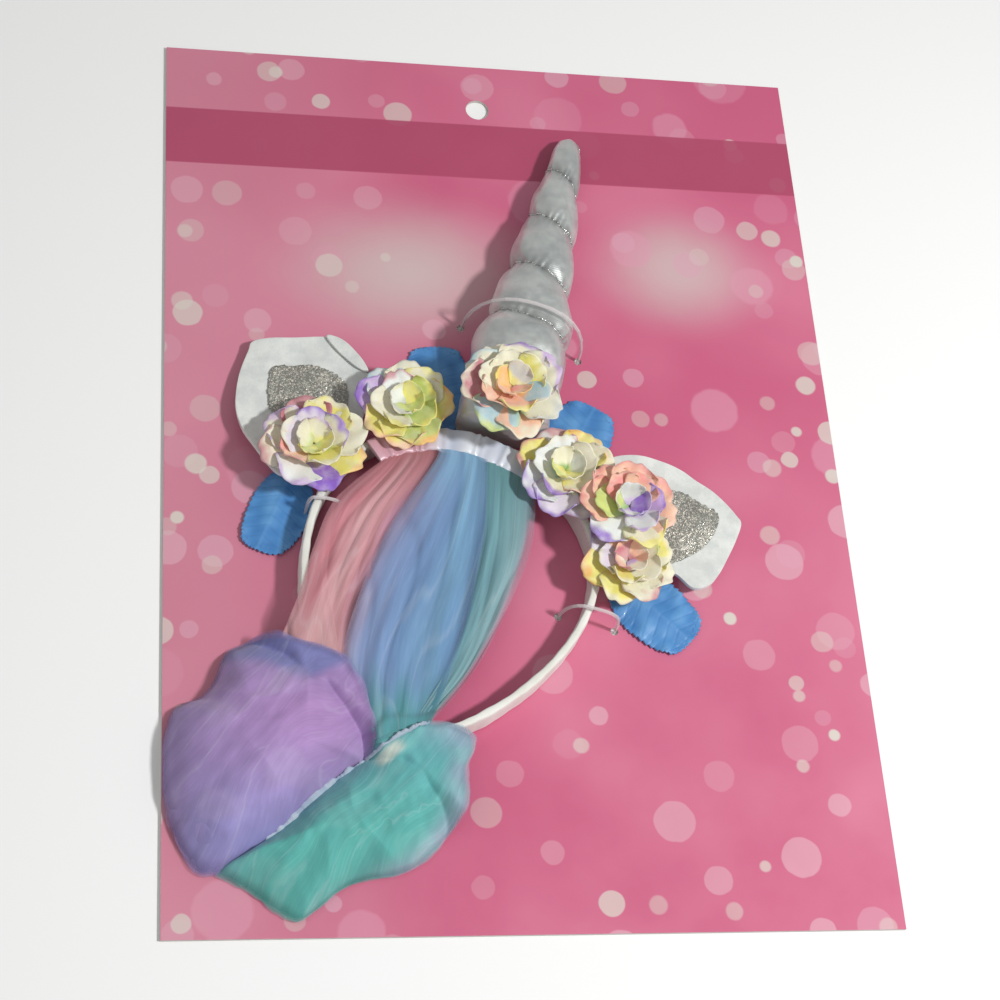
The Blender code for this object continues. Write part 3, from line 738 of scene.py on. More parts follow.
def closed_line(outline, columns):
    """A smooth closed line through the points of an outline in millimetres, evenly spaced along it."""
    closed = np.array(outline[-1:] + outline + outline[:2], float)
    at = (1 + np.linspace(0, 1, 4 * columns, endpoint=False) * len(outline)) / (len(closed) - 1)
    line = catmull(closed, at) / 1000
    line = np.concatenate([line, line[:1]])
    run = run_along(line)
    even = np.linspace(0, run[-1], columns, endpoint=False)
    return np.stack([np.interp(even, run, line[:, k]) for k in (0, 1)], axis=-1)


def make_ear(name, angle, heading, outlines, felt, glitter, seed):
    """An ear of felt with its glitter patch and, where it has one, a folded corner."""
    root = band_at(angle, band_thickness / 2 + seat_gap)
    felt_thick, patch_thick, fold_thick = 0.0018, 0.0006, 0.0012

    def lay(title, spot, lift, finish, thick):
        points = at_height(spot, ear_height(spot, root, heading, seed) + lift)
        return patches(name + title, [(points, None, None)], finish, thick=thick, wrap=True)

    piece = lay("_felt", rim_grid(outlines[0], 30, 240), 0.0, felt, felt_thick)
    round_edge(piece, 0.0006)
    cloth(piece, "white_fabric", [name], (0.070, 0.066))
    rows = 26
    spot = rim_grid(outlines[1], rows, 200)
    frayed = ruffle_at(spot, 0.0022, seed + 5) * 0.0004
    spot = spot + frayed[..., None] * np.linspace(0, 1, rows)[:, None, None] ** 6
    lift = (felt_thick + patch_thick) / 2 + seat_gap
    lift = lift + ruffle_at(spot, 0.0022, seed + 9) * 0.00010
    piece = lay("_glitter_cloth", spot, lift, glitter, patch_thick)
    cloth(piece, "silver_glitter", [name + "_glitter"], (0.042, 0.042))
    for outline in outlines[2:]:
        spot = rim_grid(outline, 16, 90)
        lift = 0.0022 + 0.0006 * ruffle_at(spot, 0.02, seed + 2)
        solid(lay("_fold", spot, lift, felt, fold_thick), "white_fabric")


def round_edge(piece, width):
    edge = piece.modifiers.new("edge", "BEVEL")
    edge.width = width
    edge.segments = 2
    edge.limit_method = "ANGLE"
    edge.angle_limit = radians(60)


# Leaves


# Half width of a leaf at shares of its length
leaf_profile = (
    (0.00, 0.10), (0.10, 0.48), (0.25, 0.82), (0.45, 1.00), (0.65, 0.98), (0.85, 0.86), (1.00, 0.70),
)


def make_leaf(name, foot, heading, right_share, finish, seed):
    """A serrated, blunt-ended leaf that lies on the card, with a midrib and side veins pressed in."""
    length, width, teeth, veins, lift, blur = 0.045, 0.031, 17, 8, 0.0011, 8
    ahead, side = ahead_and_side(heading)
    share, across = grid(171, 41, -1)
    fullness = np.interp(share[:, 0], *zip(*leaf_profile))
    fullness = np.convolve(np.pad(fullness, blur, "edge"), np.ones(2 * blur + 1) / (2 * blur + 1), "valid")
    tooth = (share * teeth) % 1.0
    half = width / 2 * fullness[:, None] * (0.935 + 0.065 * tooth) * np.where(across > 0, right_share, 1.0)
    end = ease(share, 0.80, 1.0) * (0.06 * np.abs(across) ** 3 + 0.022 * ((across * 5) % 1.0))
    along = share * length * (1 - end)
    vein = (share * (veins + 1) - np.abs(across) * 1.1) % 1.0
    vein = peak(vein - 0.5, 0.09) * (np.abs(across) < 0.93)
    rib = peak(across * half, 0.0007)
    spot = foot + ahead * along[..., None] + side * (half * across)[..., None]
    wave = ruffle_at(spot, 0.016, seed)
    rise = 0.0012 * (1 - np.abs(across)) * np.sin(pi * share) + 0.0009 * wave * np.abs(across)
    height = card_top + seat_gap + lift + rise + 0.00014 * rib - 0.00010 * vein
    points = at_height(spot, np.maximum(height, card_top + seat_gap + 0.0004))
    # Painted light and shade: the blue is paler with the same waves that ripple the leaf, and where it arches
    # up along its middle.
    tone = np.clip(0.5 + 0.35 * wave + 0.15 * np.sin(pi * share), 0, 1)
    blues = ((0.0, (58, 118, 178)), (0.5, (80, 144, 204)), (1.0, (108, 168, 220)))
    dye_and_shade = dye_mix(blues, tone)
    dye_and_shade = dyed(dyed(dye_and_shade, (56, 112, 172), 0.22 * vein), (110, 168, 220), 0.30 * rib)
    piece = patches(name + "_cloth", [(points, dye_and_shade, None)], finish, thick=0.0005)
    cloth(piece, "blue_leaf", [name], (0.031, 0.046))


# Flowers


def petal(root, heading, length, width, slopes, tint, seed, curl=0.0):
    """One broad petal: a rounded, cupped, wavy lobe that leans out at a heading on the card.

    slopes are its tilt above the card at its foot and at its tip; tint names its foot, body and edge dyes.
    """
    draw = np.random.default_rng(seed)
    rows, columns = 20, 21
    v, u = grid(rows, columns, -1)
    tilt = mix(slopes[0], slopes[1], v**0.8) - curl * ease(v, 0.65, 1.0)
    out, up = (np.cumsum(turned(tilt[:-1]), axis=0) / (rows - 1) for turned in (np.cos, np.sin))
    out, up = (np.concatenate([np.zeros((1, columns)), run]) for run in (out, up))
    dip = draw.uniform(0.02, 0.08)
    tip = 1 - 0.36 * np.abs(u) ** 2.3 * v**2 - dip * np.exp(-((u / 0.20) ** 2)) * v**6
    half = width / 2 * (0.30 + 0.70 * np.sin(pi / 2 * np.minimum(v * 1.3, 1.0))) * (1 - 0.20 * v**5)
    phase = draw.uniform(0, 2 * pi, 3)
    loose = np.abs(u) ** 1.5 * 0.5 + v**2 * 0.5
    wave = np.sin(u * 2.6 + phase[0]) + 0.60 * np.sin(u * 6.3 + v * 2 + phase[1])
    wave = wave + 0.25 * np.sin(u * 11 + phase[2])
    lift = up * length + width * 0.09 * u**2 * v + 0.00110 * wave * loose * (length / 0.014)
    side = half * u
    out = out * tip * length
    c, s = math.cos(heading), math.sin(heading)
    x = root[0] + out * c - side * s
    y = root[1] + out * s + side * c
    points = np.stack([x, y, root[2] + lift], axis=-1)
    foot, body, rim = (np.array(dyes[name]) for name in tint)
    bleed = ruffle(x, y, 0.010, seed + 1, 2) * 0.12
    dye_and_shade = mix(foot, body, ease(v + bleed, 0.12, 0.48)[..., None])
    dye_and_shade = mix(dye_and_shade, rim, (ease(np.maximum(v, np.abs(u) * 0.86) + bleed, 0.76, 0.98) * 0.9)[..., None])
    # Painted shade: each petal is darker towards its foot, in the heart of the flower.
    shade = 1 - 0.22 * (1 - ease(v, 0.0, 0.30))
    return points, dye_and_shade * shade[..., None], np.stack([side, out], axis=-1)


def whorl(centre, radius, foot, chart, slopes, width, seed, start=0.03, curl=0.0):
    """Petals round a centre, one for each entry of a chart."""
    draw = np.random.default_rng(seed)
    grids = []
    for i, entry in enumerate(chart.split(", ")):
        heading, *tint = entry.split()
        shift, size, tip = draw.uniform(-1, 1, 3)
        way = radians(float(heading)) + shift * 0.06
        length = radius * (1 - start) * (1 + 0.05 * size)
        root = (
            centre[0] + math.cos(way) * radius * start,
            centre[1] + math.sin(way) * radius * start,
            foot + 0.0005 * (i % 3) + 0.0003,
        )
        tilt = (slopes[0] + 0.05 * tip, slopes[1] + 0.16 * tip)
        grids.append(petal(root, way, length, width * radius, tilt, tint, seed * 31 + i, curl + 0.2 * shift))
    return grids


# Each flower: its middle and radius in millimetres, the petal slots of its outer whorl, its middle whorl and
# its heart, then their petals. A petal is a heading in degrees, anticlockwise from the card's right, and its
# dyes at the foot, in the body and at the edge.
flower_charts = {
    "flower_far_left": (
        (-87.5, -6.0, 22.5),
        "cream lime lilac",
        "338 lime yellow orange, 25 yellow cream cream, 62 lime yellow cream, 104 cream rose rose, "
        "150 cream cream lilac, 193 pale_grey cream rose, 238 cream white lilac, "
        "280 cream purple purple",
        "20 yellow cream purple, 92 cream lilac_white purple, 165 cream lilac_white cream, "
        "208 orange peach coral, 300 lime yellow cream",
        "340 lime yellow cream, 70 yellow cream lilac, 160 lime cream cream, 250 yellow lime yellow",
    ),
    "flower_left": (
        (-48.5, 12.4, 21.5),
        "lime cream lime",
        "5 lime yellow orange, 50 yellow cream yellow, 85 lilac cream cream, 126 sky white sky, "
        "166 purple lilac purple, 222 lime yellow peach, 258 lime yellow peach, 292 green lime orange",
        "32 green lime yellow, 108 cream white rose, 182 purple cream cream, 250 lime cream yellow, "
        "320 green lime yellow",
        "55 yellow yellow lime, 150 pale_grey white cream, 235 lime pale_grey cream, "
        "330 lime lime yellow",
    ),
    "flower_horn": (
        (-5.8, 12.4, 23.0),
        "cream coral lilac",
        "106 orange cream cream, 66 lilac_white cream purple, 28 yellow cream lilac, "
        "142 sky cream sky, 180 peach rose cream, 238 green sky lime, 283 peach peach cream, "
        "333 green cream pale_grey",
        "100 pale_grey cream cream, 32 orange yellow cream, 160 yellow cream cream, "
        "212 peach peach peach, 272 peach peach yellow, 340 orange sky cream",
        "150 orange orange yellow, 60 yellow pale_grey cream, 300 coral peach orange, "
        "220 orange peach peach",
    ),
    "flower_right": (
        (18.5, -16.8, 22.0),
        "cream lime cream",
        "107 lilac_white white rose, 50 lime yellow orange, 10 yellow cream cream, "
        "160 lime yellow rose, 208 white white purple, 248 cream lilac_white purple, "
        "292 cream white lilac, 330 lime cream cream",
        "95 sky white cream, 28 green cream cream, 165 sky white white, 235 white cream purple, "
        "305 yellow cream peach",
        "20 lime pale_grey cream, 110 green cream cream, 215 yellow lime yellow, "
        "300 yellow yellow cream",
    ),
    "flower_coral": (
        (43.5, -35.5, 21.5),
        "coral lilac lime",
        "122 coral peach coral, 78 coral peach coral, 30 coral peach coral, 345 coral peach peach, "
        "170 peach peach coral, 225 cream white purple, 300 lime cream yellow",
        "168 green lime lime, 112 coral coral peach, 55 coral peach coral, 5 purple lilac purple, "
        "300 lilac white lilac",
        "170 green lime cream, 80 lilac pale_grey white, 350 purple purple lilac, "
        "260 lilac white purple",
    ),
    "flower_low_right": (
        (43.0, -57.0, 20.0),
        "cream lime cream",
        "134 cream lilac_white purple, 92 cream cream rose, 58 lime cream lime, 22 lime yellow cream, "
        "338 lime cream cream, 292 yellow cream rose, 245 orange yellow cream, 196 peach yellow orange",
        "96 rose peach cream, 35 yellow cream lime, 325 purple cream cream, 255 peach yellow cream, "
        "180 rose lilac_white cream",
        "120 rose rose peach, 30 rose peach cream, 300 lilac cream cream, 215 cream peach rose",
    ),
}


def make_flower(name, finish, seed):
    """Three whorls of broad petals on the height of the flower's nodes."""
    (x, y, radius), slots, *charts = flower_charts[name]
    centre, radius = (x / 1000, y / 1000), radius / 1000
    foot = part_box(name + "_petals")[0].z
    # Each whorl: node, share of the radius, foot above the flower's, slopes, width, curl
    whorls = (
        ("petals", 1.04, 0.0000, (0.08, 0.30), 0.98, 0.55),
        ("middle", 0.74, 0.0016, (0.25, 0.62), 1.05, 0.50),
        ("heart", 0.48, 0.0030, (0.40, 0.92), 1.12, 0.15),
    )
    for i, (row, slot, chart) in enumerate(zip(whorls, slots.split(), charts)):
        part, share, lift, slopes, width, curl = row
        grids = whorl(centre, radius * share, foot + lift, chart, slopes, width, seed + i, curl=curl)
        piece = patches(f"{name}_{part}_cloth", grids, finish, thick=0.00035)
        flat = (2 * radius * share, 2 * radius * share * 1.8)
        cloth(piece, slot + "_petal", [f"{name}_{part}"], flat)


def make_calyx(finish):
    """The short cloth base under the coral flower."""
    low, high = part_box("flower_coral_calyx")
    centre = ((low.x + high.x) / 2, (low.y + high.y) / 2)
    rows, columns = 16, 48
    turn = ring(columns)[None, :]
    share = np.linspace(0, 1, rows)[:, None]
    radius = (high.x - low.x) / 2 * (0.82 + 0.16 * share) * (1 + 0.06 * np.sin(9 * turn))
    x, y = centre[0] + radius * np.cos(turn), centre[1] + radius * np.sin(turn)
    z = np.broadcast_to(mix(low.z, high.z, share), x.shape)
    dye_and_shade = dye_mix(((0.0, "green"), (1.0, "lime")), np.broadcast_to(share, x.shape))
    points = np.stack([x, y, z], axis=-1)
    piece = patches("flower_coral_calyx_cloth", [(points, dye_and_shade, None)], finish, wrap=True)
    cap_ends(piece, rows, columns)
    solid(piece, "lime_petal", "flower_coral_calyx")


# Veil


def make_header(finish):
    """The satin head of the veil, gathered into small puckers along the band."""
    first, last = radians(-50), radians(22)
    length, width, gather_pitch, half_thick, lift = 0.088, 0.0115, 0.0062, 0.00125, 0.0016
    rows, columns = 420, 26
    turn = ring(columns)
    share, turn = np.meshgrid(np.linspace(0, 1, rows), turn, indexing="ij")
    angle = mix(first, last, share)
    run = share * length
    gather = np.sin(2 * pi * run / gather_pitch + 2.6 * ruffle(run, 0 * run, 0.016, 21, 2))
    gather = gather * (0.55 + 0.45 * ruffle(run, turn * 0.002, 0.02, 24, 2))
    fold = ruffle(run, turn * 0.001, 0.012, 22, 2)
    inward, up = np.cos(turn), np.sin(turn)
    edge = 0.0004 * gather * np.abs(inward) + 0.0007 * fold * np.maximum(-inward, 0)
    away = band_thickness / 2 - 0.0012 - width * (0.5 - inward / 2) + edge
    spot = band_at(angle, away)
    middle = band_top + lift
    thick = half_thick * np.sign(up) * np.abs(up) ** 0.7
    points = at_height(spot, middle + thick + np.where(up > 0, 0.00045 * gather + 0.0004 * fold, 0.0))
    # Painted light and shade: paler where the puckers and folds rise and greyer where they sink; the pink
    # towards the left end is dye.
    tone = np.clip(0.5 + 0.28 * gather + 0.3 * fold, 0, 1)
    greys = ((0.0, (188, 196, 214)), (0.5, (212, 218, 230)), (1.0, (234, 238, 244)))
    dye_and_shade = dye_mix(greys, tone)
    dye_and_shade = dyed(dye_and_shade, (212, 152, 164), (1 - ease(share, 0.22, 0.46)) * 0.85)
    piece = patches("veil_header_satin", [(points, dye_and_shade, None)], finish, wrap=True)
    cap_ends(piece, rows, columns)
    cloth(piece, "header_satin", ["veil_header"], (0.013, 0.100))


# The panels' lift over the band, their sag in the middle, and the drops of the lining and of the foot
panel_lift = 0.0020
panel_sag = 0.0028
lining_drop = 0.0014
foot_drop = 0.0034

# The bundles end just inside the card's left edge
bundle_left_limit = -0.1484

# Panel edges in shares of the band's half width and half length, from the head down to the bundles
pink_left_edge = ((-0.76, 0.54), (-0.92, 0.22), (-0.91, -0.12), (-0.86, -0.42), (-0.84, -0.72))
pink_right_edge = ((-0.33, 0.78), (-0.44, 0.34), (-0.46, -0.05), (-0.42, -0.42), (-0.30, -0.76))
blue_left_edge = ((-0.35, 0.78), (-0.48, 0.30), (-0.49, -0.20), (-0.38, -0.74), (-0.02, -1.24))
blue_right_edge = ((-0.03, 0.84), (0.15, 0.36), (0.27, -0.12), (0.32, -0.52), (0.33, -0.90))
teal_left_edge = ((-0.06, 0.84), (0.11, 0.38), (0.22, -0.10), (0.25, -0.50), (0.20, -0.92))
teal_right_edge = ((0.34, 0.84), (0.48, 0.46), (0.50, 0.05), (0.46, -0.40), (0.33, -0.82))

# Each panel: its colours from the left edge to the right, its colour at the head, its colour at the foot
panel_dyes = {
    "veil_pink": (
        ((0.0, (212, 150, 158)), (0.28, (198, 124, 134)), (0.5, (222, 172, 176)),
         (0.78, (202, 142, 150)), (1.0, (190, 142, 168))),
        (168, 104, 108), (214, 164, 166),
    ),
    "veil_blue": (
        ((0.0, (164, 150, 178)), (0.16, (136, 154, 196)), (0.5, (120, 156, 200)),
         (0.78, (120, 164, 198)), (1.0, (106, 146, 186))),
        (128, 172, 202), (80, 156, 154),
    ),
    "veil_teal": (
        ((0.0, (110, 130, 190)), (0.14, (106, 156, 168)), (0.5, (122, 168, 174)),
         (0.8, (138, 174, 180)), (1.0, (162, 168, 178))),
        (98, 148, 152), (130, 172, 176),
    ),
}

band_line = band_at(np.linspace(band_left_end, band_right_end, 160))


def cloth_floor(spot):
    """How high a cloth's underside lies: on the card, or lifted where it is draped over the band."""
    away = np.full(spot.shape[:-1], 1.0)
    for point in band_line:
        away = np.minimum(away, np.linalg.norm(spot - point, axis=-1))
    lift = ease(away - band_thickness / 2 - 0.0045, 0.0, 0.012)
    return mix(band_top, card_top, lift) + seat_gap


def veil_floor(spot):
    """How high the underside of a bundle lies: also lifted between the band's ends, where the panels lie."""
    low, high = band_line[0], band_line[-1]
    ahead = (high - low) / np.linalg.norm(high - low)
    inside = (spot[..., 0] - low[0]) * -ahead[1] + (spot[..., 1] - low[1]) * ahead[0]
    return np.maximum(cloth_floor(spot), mix(card_top, band_top, ease(inside, -0.014, -0.002)) + seat_gap)


def tulle_layer(name, part, layer, slot, points, tint, alpha, weave, finish, wrap=False):
    """A layer of see-through cloth; the first one stands for the node."""
    dye_and_shade = np.concatenate([np.clip(tint, 0.0, 1.0), alpha[..., None]], axis=-1)
    piece = patches(f"{name}_{part}", [(points, dye_and_shade, np.stack(weave, axis=-1))], finish, wrap=wrap)
    solid(piece, slot, *([] if layer else [name]))
    return piece


def make_panel(name, left, right, first, last, raised, finish, folds, seed):
    """A gathered tulle panel: an upper and a lower layer with soft folds along their length."""
    rows, columns, length_along, width_across = 100, 120, 0.11, 0.032
    share, across = grid(rows, columns)
    start, end = catmull(left, share[:, 0]), catmull(right, share[:, 0])
    # The folds drift sideways as they run down the cloth
    drift = 0.06 * ruffle(share * 0.10, 0 * share, 0.09, seed, 2) * np.sin(pi * across)
    fan = np.clip(across + drift, 0, 1)[..., None]
    uv = mix(start[:, None, :], end[:, None, :], fan) * (band_half_width, band_half_length)
    spot = place(uv[..., 0], uv[..., 1])
    settle = (np.maximum(1 - share * 5, 0.0) ** 2)[..., None]
    spot = mix(spot, band_at(mix(first, last, across), -0.0100), settle)
    width = np.linalg.norm(spot[:, -1] - spot[:, 0], axis=-1)[:, None]
    run = share * length_along
    lane = across * width_across
    loose = np.minimum(share * 5, 1.0)
    turn = folds * across + 0.8 * ruffle(lane, run * 0.35, 0.05, seed + 1, 2)
    depth = 0.55 + 0.45 * ruffle(np.floor(turn + 0.5) * 0.01, run * 0.4, 0.03, seed + 7, 1)
    valley = peak((turn + 0.5) % 1.0 - 0.5, 0.10) * np.clip(depth, 0.0, 1.0)
    swell = np.cos(2 * pi * turn) * -0.5
    pleat = ruffle(lane, run * 0.12, 0.0065, seed + 2, 2)
    stops, head, foot = panel_dyes[name]
    for layer, drop in enumerate((0.0, lining_drop)):
        shift = ruffle(lane, run * 0.15, 0.009, seed + 3 + layer, 2)
        level = band_top + panel_lift + raised - drop - panel_sag * np.sin(pi * share) ** 2
        level = level + (0.0006 * swell - 0.0005 * valley + 0.00025 * pleat) * loose + 0.0002 * shift
        level = level - foot_drop * ease(share, 0.55, 0.80)
        # The panel's foot comes down beyond the band's ends and stays under the bundles
        under = veil_floor(spot) + 0.0007 + 0.012 * (1 - ease(share, 0.60, 0.75))
        floor = cloth_floor(spot) + 0.0004 + raised / 3
        height = np.maximum(np.minimum(level, under - drop * 0.25), floor - drop * 0.25)
        points = at_height(spot, height)
        tint = dye_mix(stops, np.clip(across + 0.05 * shift + 0.03 * pleat, 0, 1))
        tint = dyed(tint, head, ease(0.26 - share + 0.06 * pleat, 0.0, 0.26) * 0.8)
        tint = dyed(tint, foot, ease(share + 0.05 * shift, 0.70, 0.94) * 0.85)
        # Painted light and shade: the colour is lighter and darker with the pleats and ripples that shape the
        # surface, and darker in the fold valleys.
        tint = tint * (1 + 0.06 * pleat + 0.05 * shift - 0.13 * valley * loose)[..., None]
        # Painted shade: the lining, which lies under the top layer, is darker.
        tint = tint * (0.88 if layer else 1.0)
        edge = np.minimum(across, 1 - across) * width
        alpha = 0.30 + 0.64 * ease(edge + 0.0008 * pleat, 0.0, 0.0042)
        if name == "veil_teal":
            # The right side is a single layer, which the card shows through
            alpha = alpha * mix(1.0, 0.55, ease(across, 0.70, 1.0) * ease(share, 0.08, 0.25))
        part = "lining" if layer else "tulle"
        slot = name.replace("veil_", "") + "_tulle"
        piece = tulle_layer(name, part, layer, slot, points, tint, alpha, (lane, run), finish)
        length = float(np.linalg.norm(np.diff(points[:, columns // 2], axis=0), axis=-1).sum())
        flat = (area_of(piece) / length, length)


# Bundle outlines in millimetres on the card, clockwise from the top right
purple_outline = (
    (-73, -107), (-69, -117), (-66.5, -128), (-66, -136), (-67, -141), (-73, -144), (-81, -150),
    (-90, -157.5), (-98, -166), (-106, -173.5), (-117, -180.5), (-127, -185), (-135, -184), (-142, -174),
    (-147, -158), (-148.5, -147), (-148, -134), (-145, -120), (-140, -116), (-133, -113), (-128, -106),
    (-125, -98),
    (-122, -93), (-115, -90), (-106, -90), (-94, -94), (-84, -97), (-77, -101),
)
teal_outline = (
    (-46, -128), (-34, -129), (-27, -133), (-27, -139), (-30, -146), (-30, -155), (-32, -164), (-38, -172),
    (-46, -180), (-57, -186), (-70, -188), (-80, -192), (-89, -199), (-97, -204), (-106, -199), (-114, -193),
    (-122, -188), (-127, -184), (-117, -177), (-107, -170), (-99, -163), (-90, -154), (-81, -146),
    (-72, -139), (-62, -134), (-52, -130),
)


def make_bundle(name, outline, dome_height, sunk, slot, finish, paint, seed):
    """A folded bundle of tulle: three loose layers, each creased its own way, thin at the rim."""
    rows, columns = 70, 240
    out = (np.linspace(0.0, 1.0, rows) ** 0.8)[:, None] * np.ones((1, columns))
    rim = closed_line(outline, columns)
    centre = rim.mean(axis=0)
    above = 1.0
    # Each layer: name, spread, how far it lies below the top one, how solid it looks
    layers = (("top", 1.0, 0.0, 0.97), ("fold", 1.012, 0.0018, 0.95), ("core", 0.97, 0.0040, 1.0))
    for layer, (part, spread, drop, solidness) in enumerate(layers):
        run = np.linspace(0, 0.30, columns)[None, :] * np.ones((rows, 1))
        ragged = spread * (1 + 0.010 * ruffle(run, 0 * run, 0.018, seed + layer, 3) * ease(out, 0.7, 1.0))
        spot = centre + (rim - centre) * (out * ragged)[..., None]
        spot[..., 0] = np.maximum(spot[..., 0], bundle_left_limit)
        x, y = spot[..., 0], spot[..., 1]
        bend = 0.020 * ruffle_at(spot, 0.09, seed + 5)
        ridge = 1 - np.abs(ruffle(x + bend, y * 0.6 - bend, 0.046, seed + 10 + layer, 2)) * 2
        fine = ruffle_at(spot, 0.014, seed + 20 + layer)
        soft = ruffle_at(spot, 0.060, seed + 30 + layer)
        body = 1 - out**3
        dome = dome_height * np.maximum(1 - out**2.6, 0.0) ** 0.75
        rise = (0.0009 * ridge + 0.00035 * fine + 0.0012 * soft) * (0.25 + 0.75 * body)
        lying = card_top + 0.0012 + dome + rise - drop
        over = veil_floor(spot) + 0.0019 + 0.0003 * fine - drop * 0.2
        level = np.maximum(np.maximum(lying, over), card_top + 0.0009 + 0.0002 * (2 - layer)) - sunk
        # A lower layer stays under the one above it
        level = np.minimum(level, above)
        above = level - 0.0003
        points = at_height(spot, level)
        # Painted light: the colour is lighter along the ridges of the creases.
        tint = paint(x, y, out, fine, soft) * (1 + 0.05 * ridge * body)[..., None]
        alpha = solidness * (1 - 0.60 * ease(out, 0.91, 1.0)) if layer < 2 else np.ones_like(out)
        weave = (x * 0.80 - y * 0.60 + 0.006 * soft, x * 0.60 + y * 0.80 + 0.006 * fine)
        piece = tulle_layer(name, part, layer, slot, points, tint, alpha, weave, finish, wrap=True)
        side = math.sqrt(area_of(piece))


def purple_paint(x, y, out, fine, soft):
    """Blue-violet along the top, pink-lilac in the middle, deeper violet to the left and the bottom."""
    tint = dyed(linear(164, 140, 194), (152, 146, 202), ease(-y, 0.140, 0.178))
    tint = dyed(tint, (158, 136, 190), ease(-x + 0.004 * soft, 0.132, 0.148))
    tint = dyed(tint, (180, 140, 196), peak(x + 0.092, 0.034) * peak(y + 0.126, 0.020) * 0.9)
    top = ease(y + 0.05 * (x + 0.1) + 0.005 * soft, -0.110, -0.103)
    tint = dyed(tint, (122, 130, 186), top * 0.85)
    tint = dyed(tint, (184, 166, 206), ease(ruffle(x, y, 0.035, 77, 2), 0.25, 0.8) * 0.30)
    # Painted light and shade: lighter and darker with the fine ripples of the surface.
    return tint * (1 + 0.05 * fine)[..., None]


def teal_paint(x, y, out, fine, soft):
    """Clear teal, with a bluish lilac edge at the right and paler towards the selvage."""
    tint = dyed(linear(92, 180, 172), (102, 178, 182), ease(y, -0.175, -0.135))
    right = ease(out, 0.66, 1.0) * ease(x * 0.9 - y * 0.30, -0.012, 0.012)
    tint = dyed(tint, (164, 178, 200), right * 0.85)
    seam = ease(out, 0.55, 1.0) * ease(-x * 0.7 + y * 0.72, -0.058, -0.040)
    tint = dyed(tint, (140, 184, 196), seam * 0.6)
    tint = dyed(tint, (130, 198, 192), ease(ruffle(x, y, 0.026, 78, 2), 0.2, 0.8) * 0.30)
    # The end of the band shows through
    x, y = x + 0.0605, y + 0.1405
    tip = peak(x * 0.8 + y * 0.6, 0.0060, 4) * peak(y * 0.8 - x * 0.6, 0.0026, 4)
    tint = dyed(tint, (218, 222, 208), tip * 0.8)
    # Painted light and shade: lighter and darker with the fine ripples of the surface.
    return tint * (1 + 0.06 * fine)[..., None]


# The pale selvage where the two bundles meet, in millimetres on the card
selvage_line = (
    (-45, -128.5), (-51, -131), (-59, -135.5), (-67, -140.5), (-74, -144), (-82, -150), (-91, -158),
    (-99, -166.5), (-107, -174), (-114, -179.5),
)


def make_selvage(finish):
    """The crumpled pale edge of the tulle between the bundles."""
    share, across = grid(240, 14, -1)
    line = catmull(selvage_line, share[:, 0]) / 1000
    ahead = way_along(line)
    side = np.stack([ahead[:, 1], -ahead[:, 0]], axis=-1)
    length, lift = 0.115, 0.0028
    run = share * length
    wave = ruffle(run, across * 0.001, 0.008, 51, 3)
    half = mix(0.0006, 0.0021, ease(share, 0.30, 0.75)) * (1 + 0.25 * wave)
    half = half * (1 - 0.85 * ease(share, 0.88, 1.0))
    spot = line[:, None, :] + side[:, None, :] * (across * half + 0.0004 * wave)[..., None]
    height = np.maximum(veil_floor(line)[:, None], 0.0055) + lift + 0.0004 * wave
    points = at_height(spot, height + 0.0004 * (1 - across**2))
    # Painted light and shade: paler and darker with the same waves that crumple the edge.
    pales = ((0.0, (146, 172, 194)), (1.0, (186, 200, 212)))
    dye_and_shade = dye_mix(pales, np.clip(0.6 + 0.4 * wave, 0, 1))
    weave = np.stack([across * half, run], axis=-1)
    piece = patches("veil_selvage_cloth", [(points, dye_and_shade, weave)], finish, thick=0.0003)
    cloth(piece, "pale_selvage", ["veil_selvage"], (0.010, 0.118))


# Stage


def make_stage():
    """A plain pale floor, soft light from all round, a key light from the lower right and a weak fill."""
    bpy.ops.mesh.primitive_plane_add(size=8.0, location=(0.0, 0.0, -0.0002))
    floor = bpy.context.object
    floor.name = "floor"
    look = Finish("floor_look", 0.9)
    floor.data.materials.append(look.done(linear(251, 251, 250)))
    world = bpy.data.worlds.new("soft_studio")
    world.use_nodes = True
    sky = world.node_tree.nodes["Background"].inputs
    sky["Color"].default_value = (1.0, 1.0, 1.0, 1.0)
    sky["Strength"].default_value = 0.33
    bpy.context.scene.world = world
    # Each light: name, where from, size, power
    lights = (("key", (0.62, -0.34, 1.05), 0.13, 11.0), ("fill", (-0.70, -0.40, 1.00), 0.9, 1.4))
    for name, spot, size, power in lights:
        data = bpy.data.lights.new(name, "AREA")
        data.shape = "DISK"
        data.size = size
        data.energy = power
        lamp = bpy.data.objects.new(name, data)
        bpy.context.scene.collection.objects.link(lamp)
        lamp.location = spot
        lamp.rotation_euler = (-lamp.location).to_track_quat("-Z", "Y").to_euler()


def make_camera():
    data = bpy.data.cameras.new("camera")
    data.lens = camera_lens_mm
    data.sensor_width = camera_sensor_mm
    camera = bpy.data.objects.new("camera", data)
    bpy.context.scene.collection.objects.link(camera)
    ahead, up = np.array(camera_ahead), np.array(camera_up)
    right = np.cross(ahead, up)
    turn = np.eye(4)
    turn[:3, 0], turn[:3, 1], turn[:3, 2], turn[:3, 3] = right, up, -ahead, camera_place
    camera.matrix_world = Matrix(turn.tolist())
    bpy.context.scene.camera = camera


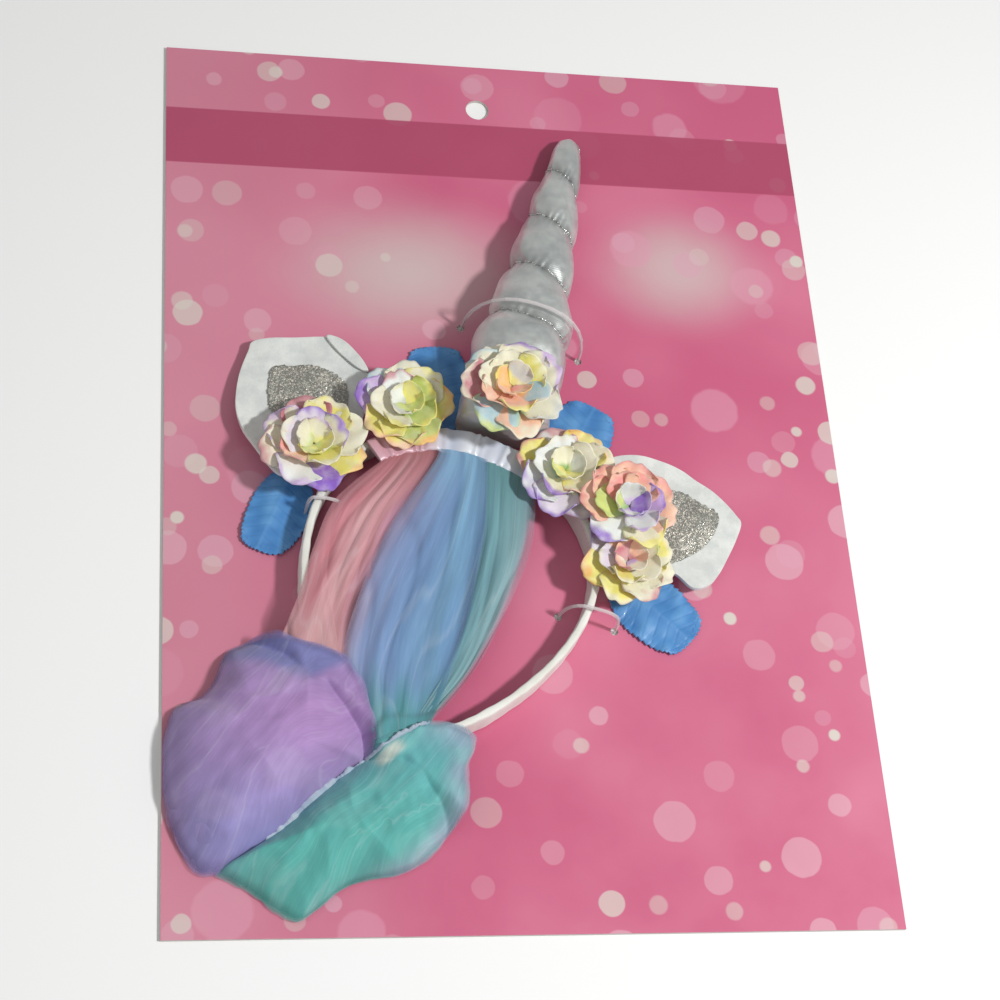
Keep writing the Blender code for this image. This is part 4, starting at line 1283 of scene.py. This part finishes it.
def build():
    bpy.context.scene.view_settings.view_transform = "Standard"
    make_camera()
    make_stage()

    clear = clear_finish()
    kept = {"display_card": card_finish(), "clear_tie_1": clear, "clear_tie_2": clear, "clear_tie_3": clear}
    for node, finish in kept.items():
        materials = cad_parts[node].data.materials
        materials.clear()
        materials.append(finish)

    make_band(ribbon_finish())
    make_horn(silver_finish(), thread_finish())
    felt, glitter = felt_finish(), glitter_finish()
    left_ear = (left_ear_outline, left_patch_outline, left_fold_outline)
    make_ear("ear_left", radians(-57), radians(-32.7), left_ear, felt, glitter, 4)
    right_ear = (right_ear_outline, right_patch_outline)
    make_ear("ear_right", radians(44), radians(83), right_ear, felt, glitter, 8)
    # Each leaf: where it leaves the band in degrees, how far off the band, heading, width of its right side
    leaves = (
        ("leaf_low_left", -67, 0.0155, -156, 0.72),
        ("leaf_top_left", -19, 0.0030, -2, 1.0),
        ("leaf_top_right", 20, 0.0030, 29, 1.0),
        ("leaf_low_right", 57, 0.0065, 133, 1.0),
    )
    leaf = leaf_finish()
    for seed, (name, angle, off, heading, right_share) in enumerate(leaves, 1):
        foot = band_at(radians(angle), band_thickness / 2 + off)
        make_leaf(name, foot, radians(heading), right_share, leaf, seed)

    petals = petal_finish()
    for i, name in enumerate(flower_charts):
        make_flower(name, petals, 100 + 10 * i)
    make_calyx(petals)

    make_header(satin_finish())
    tulle = tulle_finish()
    # Each panel: its edges, the band angles in degrees between which it hangs, how far it lies over the
    # lowest one, its number of folds and its seed
    panels = (
        ("veil_pink", pink_left_edge, pink_right_edge, -49, -22, 0.0000, 4, 200),
        ("veil_teal", teal_left_edge, teal_right_edge, -5, 19, 0.0003, 3, 240),
        ("veil_blue", blue_left_edge, blue_right_edge, -23, -3, 0.0009, 3, 220),
    )
    for name, left, right, first, last, raised, folds, seed in panels:
        make_panel(name, left, right, radians(first), radians(last), raised, tulle, folds, seed)
    make_bundle("veil_bundle_teal", teal_outline, 0.017, 0.0005, "teal_tulle", tulle, teal_paint, 340)
    make_bundle("veil_bundle_purple", purple_outline, 0.022, 0.0, "purple_tulle", tulle, purple_paint, 300)
    make_selvage(tulle)


build()
